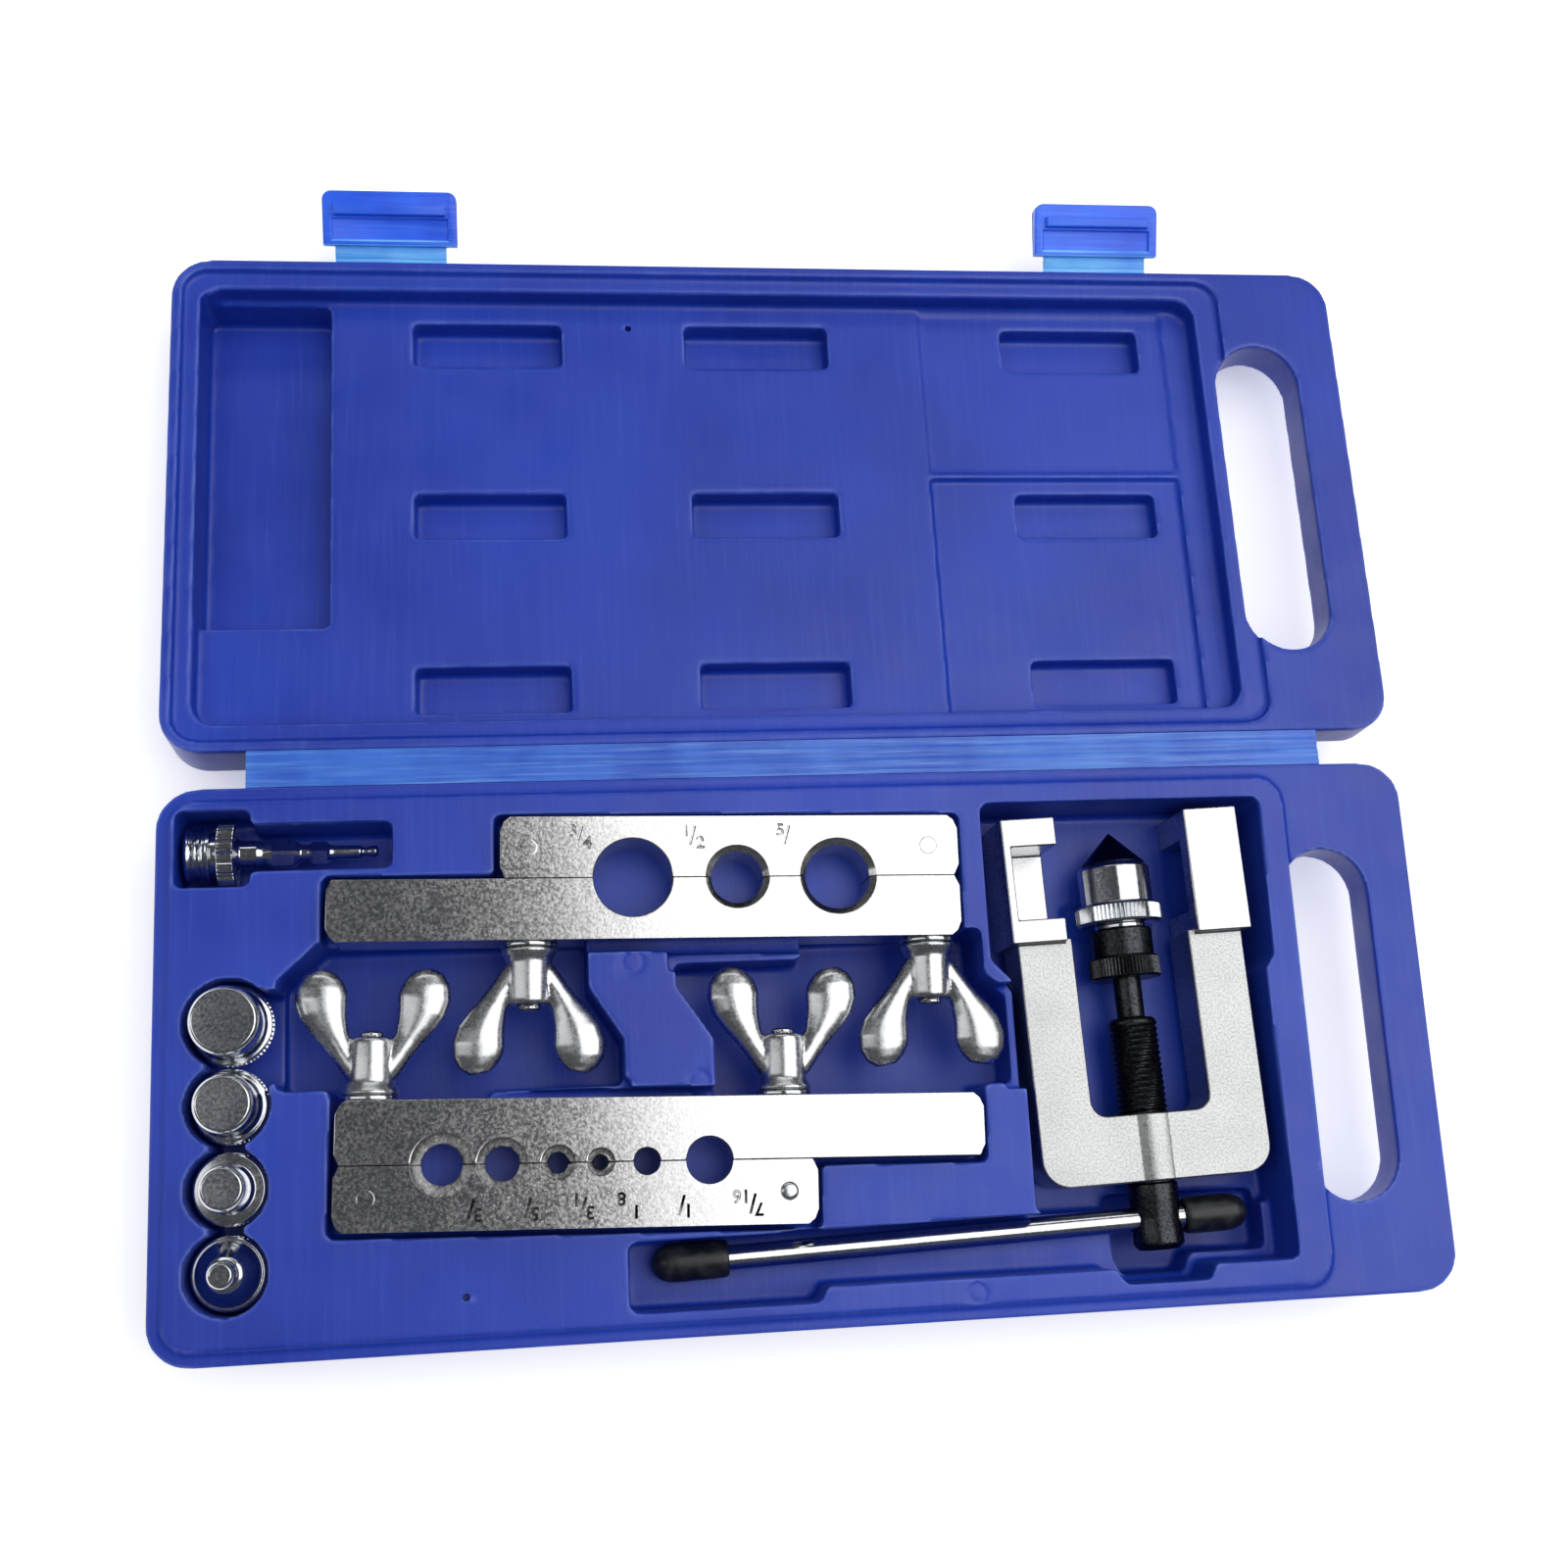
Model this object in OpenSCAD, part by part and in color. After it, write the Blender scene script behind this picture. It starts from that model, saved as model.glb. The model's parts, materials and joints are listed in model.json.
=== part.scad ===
// Flaring and swaging tool set in its hinged blow-moulded case, shown lying open.
// Origin: middle of the underside of the case base. +X to the handle, +Y to the hinge, +Z up.
// All sizes in millimetres.

/* [Case] */
// Length of each half of the case, handle included
case_w = 315; // [300:1:380]
// Depth of each half, from the hinge edge to the latch edge
case_d = 134.4; // [134:0.2:165]
// Height of the base up to its flange
base_h = 30; // [30:0.5:38]
// Depth of the lid below its flange
lid_h = 22.8; // [18:0.2:27]
// Corner radius of both halves, in plan
corner_r = 10; // [4:0.5:16]
// Wall of the outer skins
outer_wall = 1.6; // [1.2:0.1:2.2]
// Wall of the inner skins
inner_wall = 1.4; // [1:0.1:2]
// Width of the flat flange outside the raised lip
flange_w = 3.4; // [2.5:0.1:5]
// Height of the raised lip that locates the lid
lip_h = 1.2; // [0.6:0.1:2]
// Length of the handle zone at the right-hand end
handle_zone = 35.3; // [34:0.1:50]
// Thickness of the handle, in each half
handle_t = 12; // [8:0.5:18]
// Width of the hand hole
hand_w = 22.8; // [18:0.2:26]
// Length of the hand hole
hand_len = 89; // [70:1:100]

/* [Hinge and latches] */
// Width of the flexible strip between the two halves
strip_gap = 9.2; // [7:0.1:14]
// Thickness of the flexible strip
strip_t = 1; // [0.6:0.1:1.4]
// Length of the flexible strip along the case
strip_len = 273; // [200:1:285]
// Angle by which the open lid hangs below level
lid_droop = 2.9; // [0:0.1:3.5]
// Width of a latch flap
latch_w = 35; // [24:1:46]
// Length of a latch flap from its hinge line
latch_len = 17.5; // [14:0.5:22]
// Thickness of a latch flap
latch_t = 2.6; // [1.8:0.1:3.4]
// Angle at which an open latch stands up from the lid
latch_rise = 22; // [0:1:45]

/* [Clamp bars] */
// Length of the long half of a bar
bar_len = 154; // [148:1:160]
// Length of the short half of a bar
bar_short_len = 113; // [108:0.5:118]
// Width of one half of a bar
bar_half_w = 15; // [13:0.1:16]
// Thickness of the bars
bar_t = 14; // [11:0.5:16]
// Height of the bars' top faces
bar_top = 34.8; // [32:0.2:36]
// Gap between the two halves of a closed bar
bar_gap = 0.2; // [0.1:0.05:0.5]
// Diameter of the clamping studs
stud_d = 6; // [5:0.5:7]
// Distance between the two studs of a bar
stud_pitch = 98.6; // [90:0.2:104]
// Diameter of the cross pins that hold the studs
pin_d = 4.3; // [3:0.1:5]
// Radius that a wing nut sweeps
wing_r = 18.2; // [15:0.1:18.4]
// Overall length of a wing nut along its stud
wing_len = 30.4; // [26:0.2:31]
// Diameter of a wing nut's hub
nut_hub_d = 10.6; // [9:0.1:12.5]
// Travel of the long half when its nuts are slackened
jaw_travel = 1.2; // [0.5:0.1:1.2]

/* [Yoke and feed screw] */
// Clear width between the arms of the yoke
yoke_gap = 30.6; // [28:0.2:33]
// Width of each arm of the yoke
yoke_arm = 14.2; // [11:0.1:16]
// Thickness of the yoke's arms and crossbar
yoke_t = 15; // [11:0.5:17]
// Thickness of the yoke's hook ends
hook_t = 21; // [17:0.5:22]
// Width of the slot in a hook end, which takes a bar
hook_slot = 18.6; // [15:0.2:19]
// Distance by which the hook ends stand out past the arms
hook_step = 1.8; // [0.5:0.1:3]
// Depth of the crossbar that carries the screw
crossbar = 16.6; // [12:0.2:18]
// Diameter of the feed screw's thread
screw_d = 12.7; // [10:0.1:14]
// Diameter of the T-handle bar
t_bar_d = 6; // [5:0.1:7]
// Length of the T-handle over its caps
t_bar_len = 150; // [130:1:152]
// Diameter of the caps on the T-handle
t_cap_d = 9.2; // [8:0.1:11]
// Diameter of the flaring cone at its base
cone_d = 16.4; // [12:0.1:18]
// Diameter of the thread shared by the cone and the adapters
chuck_d = 14; // [11:0.1:15]

/* [Adapters] */
// Height of the top of the standing adapters' knurled rings
ring_top = 26; // [23:0.5:27]
// Height of a punch above its knurled ring
punch_h = 12.4; // [8:0.2:14]
// Thickness of a knurled ring
ring_t = 3.6; // [2.5:0.1:4.5]
// Gap between neighbouring knurled rings
ring_gap = 0.5; // [0.3:0.1:3]

/* [Hidden] */
$fn = 48;

case_blue = "#1f3fae";
strap_blue = "#3f86e0";
steel = "#c9ccd0";
chrome = "#dfe2e6";
black_oxide = "#2b2c2e";
cone_blue = "#1c2038";
cap_black = "#17181a";

// clearances
run_gap = 0.05;      // radial, threads and turning fits
slide_gap = 0.3;     // radial, studs through the sliding half
seat_gap = 0.1;      // under a tool that lies in its pocket
side_gap = 1.4;      // beside a tool that lies in its pocket
latch_gap = 0.5;     // between a closed latch and the base
lip_gap = 0.6;       // between the base's lip and its groove in the lid
nut_room = 0.9;      // below the wings of a turning nut

// case
left_x = -case_w / 2;
right_x = case_w / 2;
rear_y = case_d / 2;
front_y = -case_d / 2;
tray_top = base_h + lip_h;
handle_x = right_x - handle_zone;
hand_x = right_x - 12 - hand_w / 2;
axis_y = rear_y + strip_gap / 2;

// bars: each has its own frame, with its origin in the parting plane at the middle of the long half
bar_a_pos = [-39.9, 41.6];
bar_a_turn = -1.25;
bar_b_pos = [-38.3, -26.4];
bar_b_turn = 180 - 1.8;
bar_bottom = bar_top - bar_t;
stud_z = bar_top - bar_t / 2;
stud_inset = 7.5;
stud_x = [bar_len / 2 - stud_inset - stud_pitch, bar_len / 2 - stud_inset];
stud_point = 0.6;
stud_proud = 1.4;
stud_shank_d = stud_d + 2;
stud_depth = bar_half_w * 0.8;
pin_y = bar_half_w / 2;
washer_d = stud_d + 7.8;
washer_t = 1.2;
long_face = -bar_gap / 2 - bar_half_w;
washer_face = long_face - washer_t;
nut_len = 13.8;
// bores of bar A and bar B: place along the bar, bore diameter, top countersink, bottom countersink
inch = 25.4;
bores_a = [[-4, 3/4 * inch, 19.7, 0], [21.6, 1/2 * inch, 15.8, 0], [46.6, 5/8 * inch, 19.1, 0]];
bores_b = [[52.4, 3/8 * inch, 14.6, 0], [38.4, 5/16 * inch, 12, 0], [25.4, 3/16 * inch, 8.2, 0],
           [15.4, 1/8 * inch, 6.6, 0], [4.6, 1/4 * inch, 0, 10], [-10.2, 7/16 * inch, 0, 15.4]];
bore_grip = 0.05;

// yoke: its frame has its origin on the screw axis, and +Y runs to the cone's tip
yoke_pos = [82.8, 0];
yoke_turn = 2;
yoke_z = 20;
arm_in = yoke_gap / 2;
arm_out = arm_in + yoke_arm;
crotch_v = -20.4;
yoke_foot = crotch_v - crossbar;
arm_end = 23.6;
hook_end = 55.5;
slot_near = 29.6;
slot_depth = yoke_arm - 2.2;
screw_head_v = yoke_foot - 0.5;
t_hole_v = screw_head_v - 8.6;
screw_foot = screw_head_v - 16.2;
thread_top = 3.8;
shaft_d = 7.1;
shaft_top = 18.4;
socket_lo = 13.9;
socket_hi = 26.6;
ball_d = 4;
holder_d = 21.8;
chuck_lo = 27.8;
chuck_mid = 33;
chuck_hi = 43.2;
cone_tip = chuck_hi + 0.6 + cone_d / 2;
t_right = 23.5;
t_left = t_right - t_bar_len;
t_cap_len = [18.6, 16.6];

// adapters
// ring and punch diameters of the standing adapters, and their places from the rear one forwards
adapter_x = -139.8;
adapter_y0 = 10.4;
adapter_sizes = [[19.4, 16.2], [17.8, 13.8], [17.2, 10.6], [17.4, 6.3]];
adapter_pitch = (adapter_sizes[0][0] + adapter_sizes[1][0]) / 2 + ring_gap;
thread_len = 9;
groove_len = 1.2;
adapter_foot = ring_top - ring_t - groove_len - thread_len;
step_pos = [-151.3, 52.2];
step_z = 22;
step_ring_d = 15.8;

// floors of the tray's pockets
bar_floor = bar_bottom - seat_gap;
nut_floor = stud_z - wing_r - nut_room;
ridge_top = 24;
hook_floor = yoke_z - hook_t / 2 - seat_gap;
holder_floor = yoke_z - holder_d / 2 - 0.5;
handle_floor = yoke_z - t_cap_d / 2 - 0.4;
turn_floor = 4.4;
adapter_floor = adapter_foot - seat_gap;
step_floor = step_z - step_ring_d / 2 - seat_gap;

// ---------- plan shapes ----------

// rounded rectangle from its two corners
module rrect(x0, y0, x1, y1, r) {
    translate([x0 + r, y0]) square([x1 - x0 - 2 * r, y1 - y0]);
    translate([x0, y0 + r]) square([x1 - x0, y1 - y0 - 2 * r]);
    for (x = [x0 + r, x1 - r], y = [y0 + r, y1 - r]) translate([x, y]) circle(r);
}

// outline of one half of the case, drawn inset by t
module case_plan(t) {
    rrect(left_x + t, front_y + t, right_x - t, rear_y - t, corner_r - t);
}

// raised area inside the flange, which stops at the handle zone
module lip_plan(t) {
    rrect(left_x + flange_w + t, front_y + flange_w + t, handle_x + 2.6 - t, rear_y - flange_w - t,
          corner_r - flange_w);
}

// hand hole, drawn larger by t
module hand_plan(t) {
    r = hand_w / 2 + t;
    half = hand_len / 2 - hand_w / 2;
    translate([hand_x - r, -half]) square([2 * r, 2 * half]);
    for (y = [-half, half]) translate([hand_x, y]) circle(r);
}

// rounds the inner and outer corners of a plan shape
module soften(r) {
    offset(r = r, $fn = 24) offset(r = -2 * r, $fn = 24) offset(r = r, $fn = 24) children();
}

// footprint of a bar in its own frame, drawn larger by t
module bar_plan(t) {
    translate([-bar_len / 2 - t, -bar_half_w - t]) square([bar_len + 2 * t, bar_half_w + 2 * t]);
    translate([bar_len / 2 - bar_short_len - t, -t]) square([bar_short_len + 2 * t, bar_half_w + 2 * t]);
}

// a point of a tool's frame, in the frame of the case
function placed(pos, turn, p) = [pos[0] + p[0] * cos(turn) - p[1] * sin(turn), pos[1] + p[0] * sin(turn) + p[1] * cos(turn)];
function on_bar_a(x, y) = placed(bar_a_pos, bar_a_turn, [x, y]);
function on_bar_b(x, y) = placed(bar_b_pos, bar_b_turn, [x, y]);
function on_yoke(u, v) = placed(yoke_pos, yoke_turn, [u, v]);

// ---------- pockets of the tray, in plan ----------

module bar_pocket(pos, turn) {
    soften(1.6) translate(pos) rotate(turn) {
        bar_plan(side_gap);
        translate([-bar_len / 2 - side_gap, -bar_half_w - side_gap - jaw_travel])
            square([bar_len + 2 * side_gap, bar_half_w]);
    }
}

// well in front of bar A's left nut and behind bar B's left nut
module left_well() {
    nut_a = on_bar_a(stud_x[0], 0)[0];
    nut_b = on_bar_b(stud_x[1], 0)[0];
    rear = on_bar_a(stud_x[0], -bar_half_w)[1] + 1.4;
    front = on_bar_b(stud_x[1], -bar_half_w)[1] - 5.4;
    left = nut_b - wing_r - 3;
    right = nut_a + wing_r + 3.5;
    soften(2) polygon([
        [left, rear - 9], [left + 9.8, rear], [right - 8, rear], [right - 8, rear - 13], [right, rear - 25.6],
        [right, front + 7], [right - 32, front + 7], [right - 35, front], [left + 12.6, front],
        [left + 12.6, front + 8.6], [left, front + 8.6]
    ]);
}

// well for the two right-hand nuts
module right_well() {
    nut_a = on_bar_a(stud_x[1], 0)[0];
    nut_b = on_bar_b(stud_x[0], 0)[0];
    rear = on_bar_a(stud_x[1], -bar_half_w)[1] + 1.9;
    front = on_bar_b(stud_x[0], -bar_half_w)[1] - 2.3;
    left = nut_b - wing_r - 6.7;
    right = nut_a + wing_r + 1.4;
    soften(2) polygon([
        [left, rear - 5.6], [left, rear - 11.6], [left + 8.8, rear - 25], [left + 8.8, front],
        [right - 9, front], [right - 9, front + 3.2], [right, front + 3.2], [right, rear - 16.6],
        [right - 6.6, rear - 11.4], [right - 6.6, rear], [left + 32.2, rear], [left + 32.2, rear - 5.6]
    ]);
}

// low ridges between the wells and the bars
module ridge_pockets() {
    translate([-36, 19]) square([36, 9]);
    translate([-82, -16]) square([36, 9.6]);
    translate([46, 8]) square([8, 5]);
    translate([46, -13]) square([8, 22]);
}

// wide at the hooks, narrower along the arms
module yoke_pocket() {
    wide = arm_out + hook_step;
    front = yoke_pos[1] + yoke_foot - 6.6;
    rear = yoke_pos[1] + hook_end + 3.1;
    step = yoke_pos[1] + arm_end - 6;
    left = yoke_pos[0] - wide;
    right = yoke_pos[0] + wide;
    soften(2.4) polygon([
        [left - 6.9, rear], [right + 4.3, rear], [right + 3.9, step], [right + 1.5, step - 3.2], [right + 2.3, front],
        [left - 0.3, front], [left - 0.3, step - 6], [left - 4.1, step - 1.8], [left - 6.9, step + 1.4]
    ]);
}

// cradle under the widest part of the cone holder
module holder_pocket() {
    translate(yoke_pos) rotate(yoke_turn) translate([-holder_d / 2 - 1, chuck_lo - 2])
        square([holder_d + 2, chuck_mid - chuck_lo + 4]);
}

// trough of the T-handle, with room for its end to swing and for two fingers
module handle_pocket() {
    left_end = on_yoke(t_left, t_hole_v);
    right_end = on_yoke(t_right, t_hole_v);
    head = on_yoke(0, screw_foot);
    beside = t_cap_d / 2 + 0.9;
    soften(2) polygon([
        [left_end[0] - 5.8, left_end[1] + beside], [head[0] - 33.5, head[1] + 4.8 + beside],
        [right_end[0] + 8.5, head[1] + 11.7],
        [right_end[0] + 8.5, head[1] - 3.5], [head[0] + 10.3, head[1] - 3.5], [head[0] + 8.7, head[1] - 7.3],
        [head[0] - 12.3, head[1] - 7.3], [head[0] - 15.1, head[1] - 3.5], [left_end[0] + 41, head[1] - 3.5],
        [left_end[0] + 39.4, left_end[1] - 4.8 - beside], [left_end[0] - 5.8, left_end[1] - 4.8 - beside]
    ]);
}

// deeper part of the trough, where the right-hand cap goes as the screw is turned
module turning_pocket() {
    right_end = on_yoke(t_right, t_hole_v);
    head = on_yoke(0, screw_foot);
    soften(2) polygon([
        [head[0] - 10.7, head[1] + 13.7], [right_end[0] + 6, head[1] + 13.7], [right_end[0] + 6, head[1] - 1.3],
        [head[0] + 9.3, head[1] - 1.3], [head[0] + 7.3, head[1] - 5.9], [head[0] - 8.7, head[1] - 5.9],
        [head[0] - 10.7, head[1] - 1.3]
    ]);
}

module adapter_pocket() {
    soften(1.2) {
        for (i = [0:3]) translate([adapter_x, adapter_y0 - i * adapter_pitch])
            circle(adapter_sizes[i][0] / 2 + 0.9);
        translate([adapter_x + 4, adapter_y0 - adapter_pitch + 4.7]) square([13, adapter_pitch + 2.9]);
    }
}

module step_pocket() {
    soften(1.6) {
        translate([step_pos[0] - 1.4, step_pos[1] - 9.2]) square([17.4, 18.4]);
        translate([step_pos[0] + 6, step_pos[1] - 5.6]) square([43.6, 11.2]);
    }
}

// every pocket with the height of its floor, used once for the walls and once for the hollows
module each_pocket(wall) {
    deep = wall > 0 ? inner_wall : 0;
    top = wall > 0 ? base_h - inner_wall / 2 : tray_top + 1;
    module sink(z) translate([0, 0, z - deep]) linear_extrude(top - z + deep) offset(r = wall, $fn = 24)
        children();
    sink(bar_floor) bar_pocket(bar_a_pos, bar_a_turn);
    sink(bar_floor) bar_pocket(bar_b_pos, bar_b_turn);
    sink(nut_floor) left_well();
    sink(nut_floor) right_well();
    sink(ridge_top) ridge_pockets();
    sink(hook_floor) yoke_pocket();
    sink(holder_floor) holder_pocket();
    sink(handle_floor) handle_pocket();
    sink(turn_floor) turning_pocket();
    sink(adapter_floor) adapter_pocket();
    sink(step_floor) step_pocket();
}

// ---------- case ----------

latch_x = [-101.5, 91.5];
hook_mid = latch_len - 5.1;
hook_reach = 3.1;
latch_axis = [case_d + latch_t / 2 + latch_gap, -2];
catch_h = 5.2;
catch_z = base_h - latch_axis[1] - hook_mid + 0.3;

// recess that a closed latch hooks into, drawn larger by t
module catch_recesses(t) {
    for (x = latch_x) translate([x - latch_w / 2 - 1 - t, front_y - 1, catch_z - catch_h / 2 - t])
        cube([latch_w + 2 + 2 * t, 3.2 + t, catch_h + 2 * t]);
}

// plan of the tub itself, without the handle
module tub_plan(t) {
    rrect(left_x + t, front_y + t, handle_x - t, rear_y - t, corner_r - t);
}

// outer skin: a tub with a thinner hollow handle beside it, open at the top
module outer_skin(h) {
    handle_z = h - handle_t;
    difference() {
        union() {
            linear_extrude(h - inner_wall) tub_plan(0);
            translate([0, 0, handle_z]) linear_extrude(handle_t - inner_wall) case_plan(0);
        }
        difference() {
            union() {
                translate([0, 0, outer_wall]) linear_extrude(h) tub_plan(outer_wall);
                translate([0, 0, handle_z + outer_wall]) linear_extrude(h) case_plan(outer_wall);
            }
            linear_extrude(h) hand_plan(outer_wall);
        }
        translate([0, 0, -1]) linear_extrude(h + 2) hand_plan(0);
    }
}

module base_outer_shell() {
    color(case_blue) difference() {
        union() {
            outer_skin(base_h);
            intersection() {
                catch_recesses(outer_wall);
                linear_extrude(base_h - inner_wall) case_plan(0);
            }
        }
        catch_recesses(0);
    }
}

module base_inner_tray() {
    color(case_blue) difference() {
        union() {
            translate([0, 0, base_h - inner_wall]) linear_extrude(inner_wall) case_plan(0);
            translate([0, 0, base_h - inner_wall]) linear_extrude(inner_wall + lip_h) lip_plan(0);
            each_pocket(inner_wall);
        }
        each_pocket(0);
        translate([0, 0, -1]) linear_extrude(base_h + 2) hand_plan(0);
    }
}

module hinge_leaf_base() {
    color(strap_blue) translate([-strip_len / 2, rear_y, base_h - strip_t])
        cube([strip_len, strip_gap / 2 - 0.15, strip_t]);
}

// the lid is drawn with its flange up at height 0 and its hinge edge at y = 0, then laid open
module lid_frame() {
    translate([0, axis_y, base_h]) rotate([-lid_droop, 0, 0]) translate([0, strip_gap / 2, 0]) children();
}

module lid_plan(t) translate([0, case_d / 2]) case_plan(t);

module lid_cavity_plan(t) {
    translate([0, case_d / 2]) rrect(left_x + 7.4 + t, front_y + 7.4 + t, handle_x - 3.6 - t, rear_y - 7.4 - t, 6);
}

groove_h = lip_h + lip_gap;

// block of the liner in which the groove for the base's lip is sunk
module groove_block() {
    translate([0, 0, -groove_h - inner_wall]) linear_extrude(groove_h + inner_wall / 2)
        translate([0, case_d / 2]) offset(r = inner_wall, $fn = 24) lip_plan(-lip_gap);
}

module lid_outer_shell() {
    color(case_blue) lid_frame() difference() {
        translate([0, case_d / 2, -lid_h]) outer_skin(lid_h);
        groove_block();
    }
}

lid_floor = 8.2;
lid_deep = lid_h - outer_wall - inner_wall - 0.4;
tack_x = [-76.6, -4.2, 84.2];
tack_y = [17.4, 65.2, 114.6];

// pockets of the liner: main hollow, deep pocket over the adapters, the yoke's two levels, nine tack-offs
module lid_pockets(wall) {
    deep = wall > 0 ? inner_wall : 0;
    top = wall > 0 ? 0 : 1;
    module sink(z) translate([0, 0, -z - deep]) linear_extrude(top + z + deep) offset(r = wall, $fn = 24)
        children();
    sink(lid_floor) lid_cavity_plan(0);
    sink(lid_deep) soften(2) translate([left_x + 7.2, 34.6]) square([32.6, 91]);
    sink(lid_floor + 1.6) translate([41, 8.4]) square([70, 67.4]);
    sink(lid_floor + 0.8) translate([41, 77]) square([70, case_d - 77 - 8.6]);
    for (x = tack_x, y = tack_y)
        sink(lid_floor + 7) soften(1.5) translate([x - 19.6, y - 6.2]) square([39.2, 12.4]);
}

module lid_inner_liner() {
    color(case_blue) lid_frame() difference() {
        union() {
            translate([0, 0, -inner_wall]) linear_extrude(inner_wall) lid_plan(0);
            groove_block();
            lid_pockets(inner_wall);
        }
        translate([0, 0, -groove_h]) linear_extrude(groove_h + 1)
            translate([0, case_d / 2]) lip_plan(-lip_gap);
        lid_pockets(0);
        translate([0, case_d / 2, -lid_h - 1]) linear_extrude(lid_h + 2) hand_plan(0);
    }
}

module hinge_leaf_lid() {
    color(strap_blue) lid_frame() translate([-strip_len / 2, 0.15 - strip_gap / 2, -strip_t])
        cube([strip_len, strip_gap / 2 - 0.15, strip_t]);
}

// latch: hinge band, flap with a sunk panel, and a hook that enters the base's catch recess
module latch(x) {
    half = latch_w / 2;
    color(strap_blue) lid_frame() translate([x, latch_axis[0], latch_axis[1]]) rotate([latch_rise, 0, 0])
        difference() {
            union() {
                translate([-half + 3, 0.2, -latch_t / 2]) cube([latch_w - 6, 4, 1.2]);
                translate([-half, 3.4, -latch_t / 2]) cube([latch_w, latch_len - 3.4, latch_t]);
                translate([-half, latch_len - 2.4, -latch_t / 2 - 1]) cube([latch_w, 2.4, latch_t]);
                translate([-half + 3, hook_mid - 1.3, 0]) cube([latch_w - 6, 2.6, hook_reach]);
            }
            translate([-half + 2.4, 4.8, latch_t / 2 - 0.7]) cube([latch_w - 4.8, hook_mid - 6.8, 3]);
        }
}

// lid's side of the latch hinge
module latch_leaf(x) {
    color(strap_blue) lid_frame() translate([x - latch_w / 2 + 3, case_d, latch_axis[1] - latch_t / 2])
        cube([latch_w - 6, latch_t / 2 + latch_gap - 0.2, 1.2]);
}

module latch_leaf_left() latch_leaf(latch_x[0]);
module latch_leaf_right() latch_leaf(latch_x[1]);
module latch_left() latch(latch_x[0]);
module latch_right() latch(latch_x[1]);

// ---------- clamp bars ----------

module bar_frame(pos, turn) translate([pos[0], pos[1], 0]) rotate(turn) children();

// plan of one half, with blunt corners at both ends; y runs from 0 to the outer face
module half_plan(x0, x1) {
    w = bar_half_w;
    polygon([
        [x0 + 1.2, 0], [x1 - 1.2, 0], [x1, 2.6], [x1, w - 3.4], [x1 - 0.9, w - 1.2], [x1 - 2.4, w],
        [x0 + 2.4, w], [x0 + 0.9, w - 1.2], [x0, w - 3.4], [x0, 2.6]
    ]);
}

// tube bores with their flare countersinks
module tube_bores(bores) {
    for (b = bores) translate([b[0], 0, 0]) {
        translate([0, 0, bar_bottom - 1]) cylinder(d = b[1] + 2 * bore_grip, h = bar_t + 2);
        if (b[2] > 0) translate([0, 0, bar_top - (b[2] - b[1]) / 2])
            cylinder(d1 = b[1], d2 = b[2] + 0.2, h = (b[2] - b[1]) / 2 + 0.1);
        if (b[3] > 0) translate([0, 0, bar_bottom - 0.1])
            cylinder(d1 = b[3] + 0.2, d2 = b[1], h = (b[3] - b[1]) / 2 + 0.1);
    }
}

module along_stud(i) translate([stud_x[i], 0, stud_z]) rotate([90, 0, 0]) children();

module short_half(bores) {
    difference() {
        translate([0, bar_gap / 2, bar_bottom]) linear_extrude(bar_t)
            half_plan(bar_len / 2 - bar_short_len, bar_len / 2);
        tube_bores(bores);
        for (i = [0, 1]) {
            along_stud(i) translate([0, 0, -stud_depth]) cylinder(d = stud_shank_d + 0.04, h = stud_depth + 1);
            translate([stud_x[i], pin_y, bar_bottom - 1]) cylinder(d = pin_d + 0.04, h = bar_t + 2);
        }
    }
}

module long_half(bores) {
    difference() {
        translate([0, -bar_gap / 2, bar_bottom]) mirror([0, 1, 0]) linear_extrude(bar_t)
            half_plan(-bar_len / 2, bar_len / 2);
        tube_bores(bores);
        for (i = [0, 1]) along_stud(i) translate([0, 0, -1])
            cylinder(d = stud_d + 2 * slide_gap, h = bar_half_w + 3);
    }
}

// shank in the short half with a cross hole for its pin, then the threaded length
module stud(i) {
    difference() {
        along_stud(i) {
            translate([0, 0, 0.2 - stud_depth]) cylinder(d = stud_shank_d, h = stud_depth - 0.2 - bar_gap / 2);
            cylinder(d = stud_d, h = -washer_face + nut_len + stud_proud - stud_point);
            translate([0, 0, -washer_face + nut_len + stud_proud - stud_point])
                cylinder(d1 = stud_d, d2 = stud_d - 2 * stud_point, h = stud_point);
            translate([0, 0, -1]) cylinder(d = stud_d, h = 1.2);
        }
        translate([stud_x[i], pin_y, bar_bottom]) cylinder(d = pin_d + 0.04, h = bar_t);
    }
}

module cross_pin(i) {
    translate([stud_x[i], pin_y, bar_bottom + 0.2]) cylinder(d = pin_d, h = bar_t);
}

module washer(i) {
    along_stud(i) translate([0, 0, -long_face + 0.02]) difference() {
        cylinder(d = washer_d, h = washer_t - 0.04);
        translate([0, 0, -1]) cylinder(d = stud_d + 0.4, h = washer_t + 2);
    }
}

// one wing, a swelling bent finger from the hub to the tip
module wing(side) {
    tip = wing_len - 5.2;
    hull() {
        translate([side * 4.6, 0, 6]) sphere(d = 5, $fn = 16);
        translate([side * 9.6, 0, 13]) scale([1, 0.86, 1.1]) sphere(d = 7, $fn = 16);
    }
    hull() {
        translate([side * 9.6, 0, 13]) scale([1, 0.86, 1.1]) sphere(d = 7, $fn = 16);
        translate([side * (wing_r - 5.6), 0, tip - 3]) scale([1, 0.78, 1]) sphere(d = 11.2, $fn = 20);
        translate([side * (wing_r - 6.1), 0, tip]) scale([1, 0.78, 1]) sphere(d = 10.2, $fn = 20);
    }
}

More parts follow.
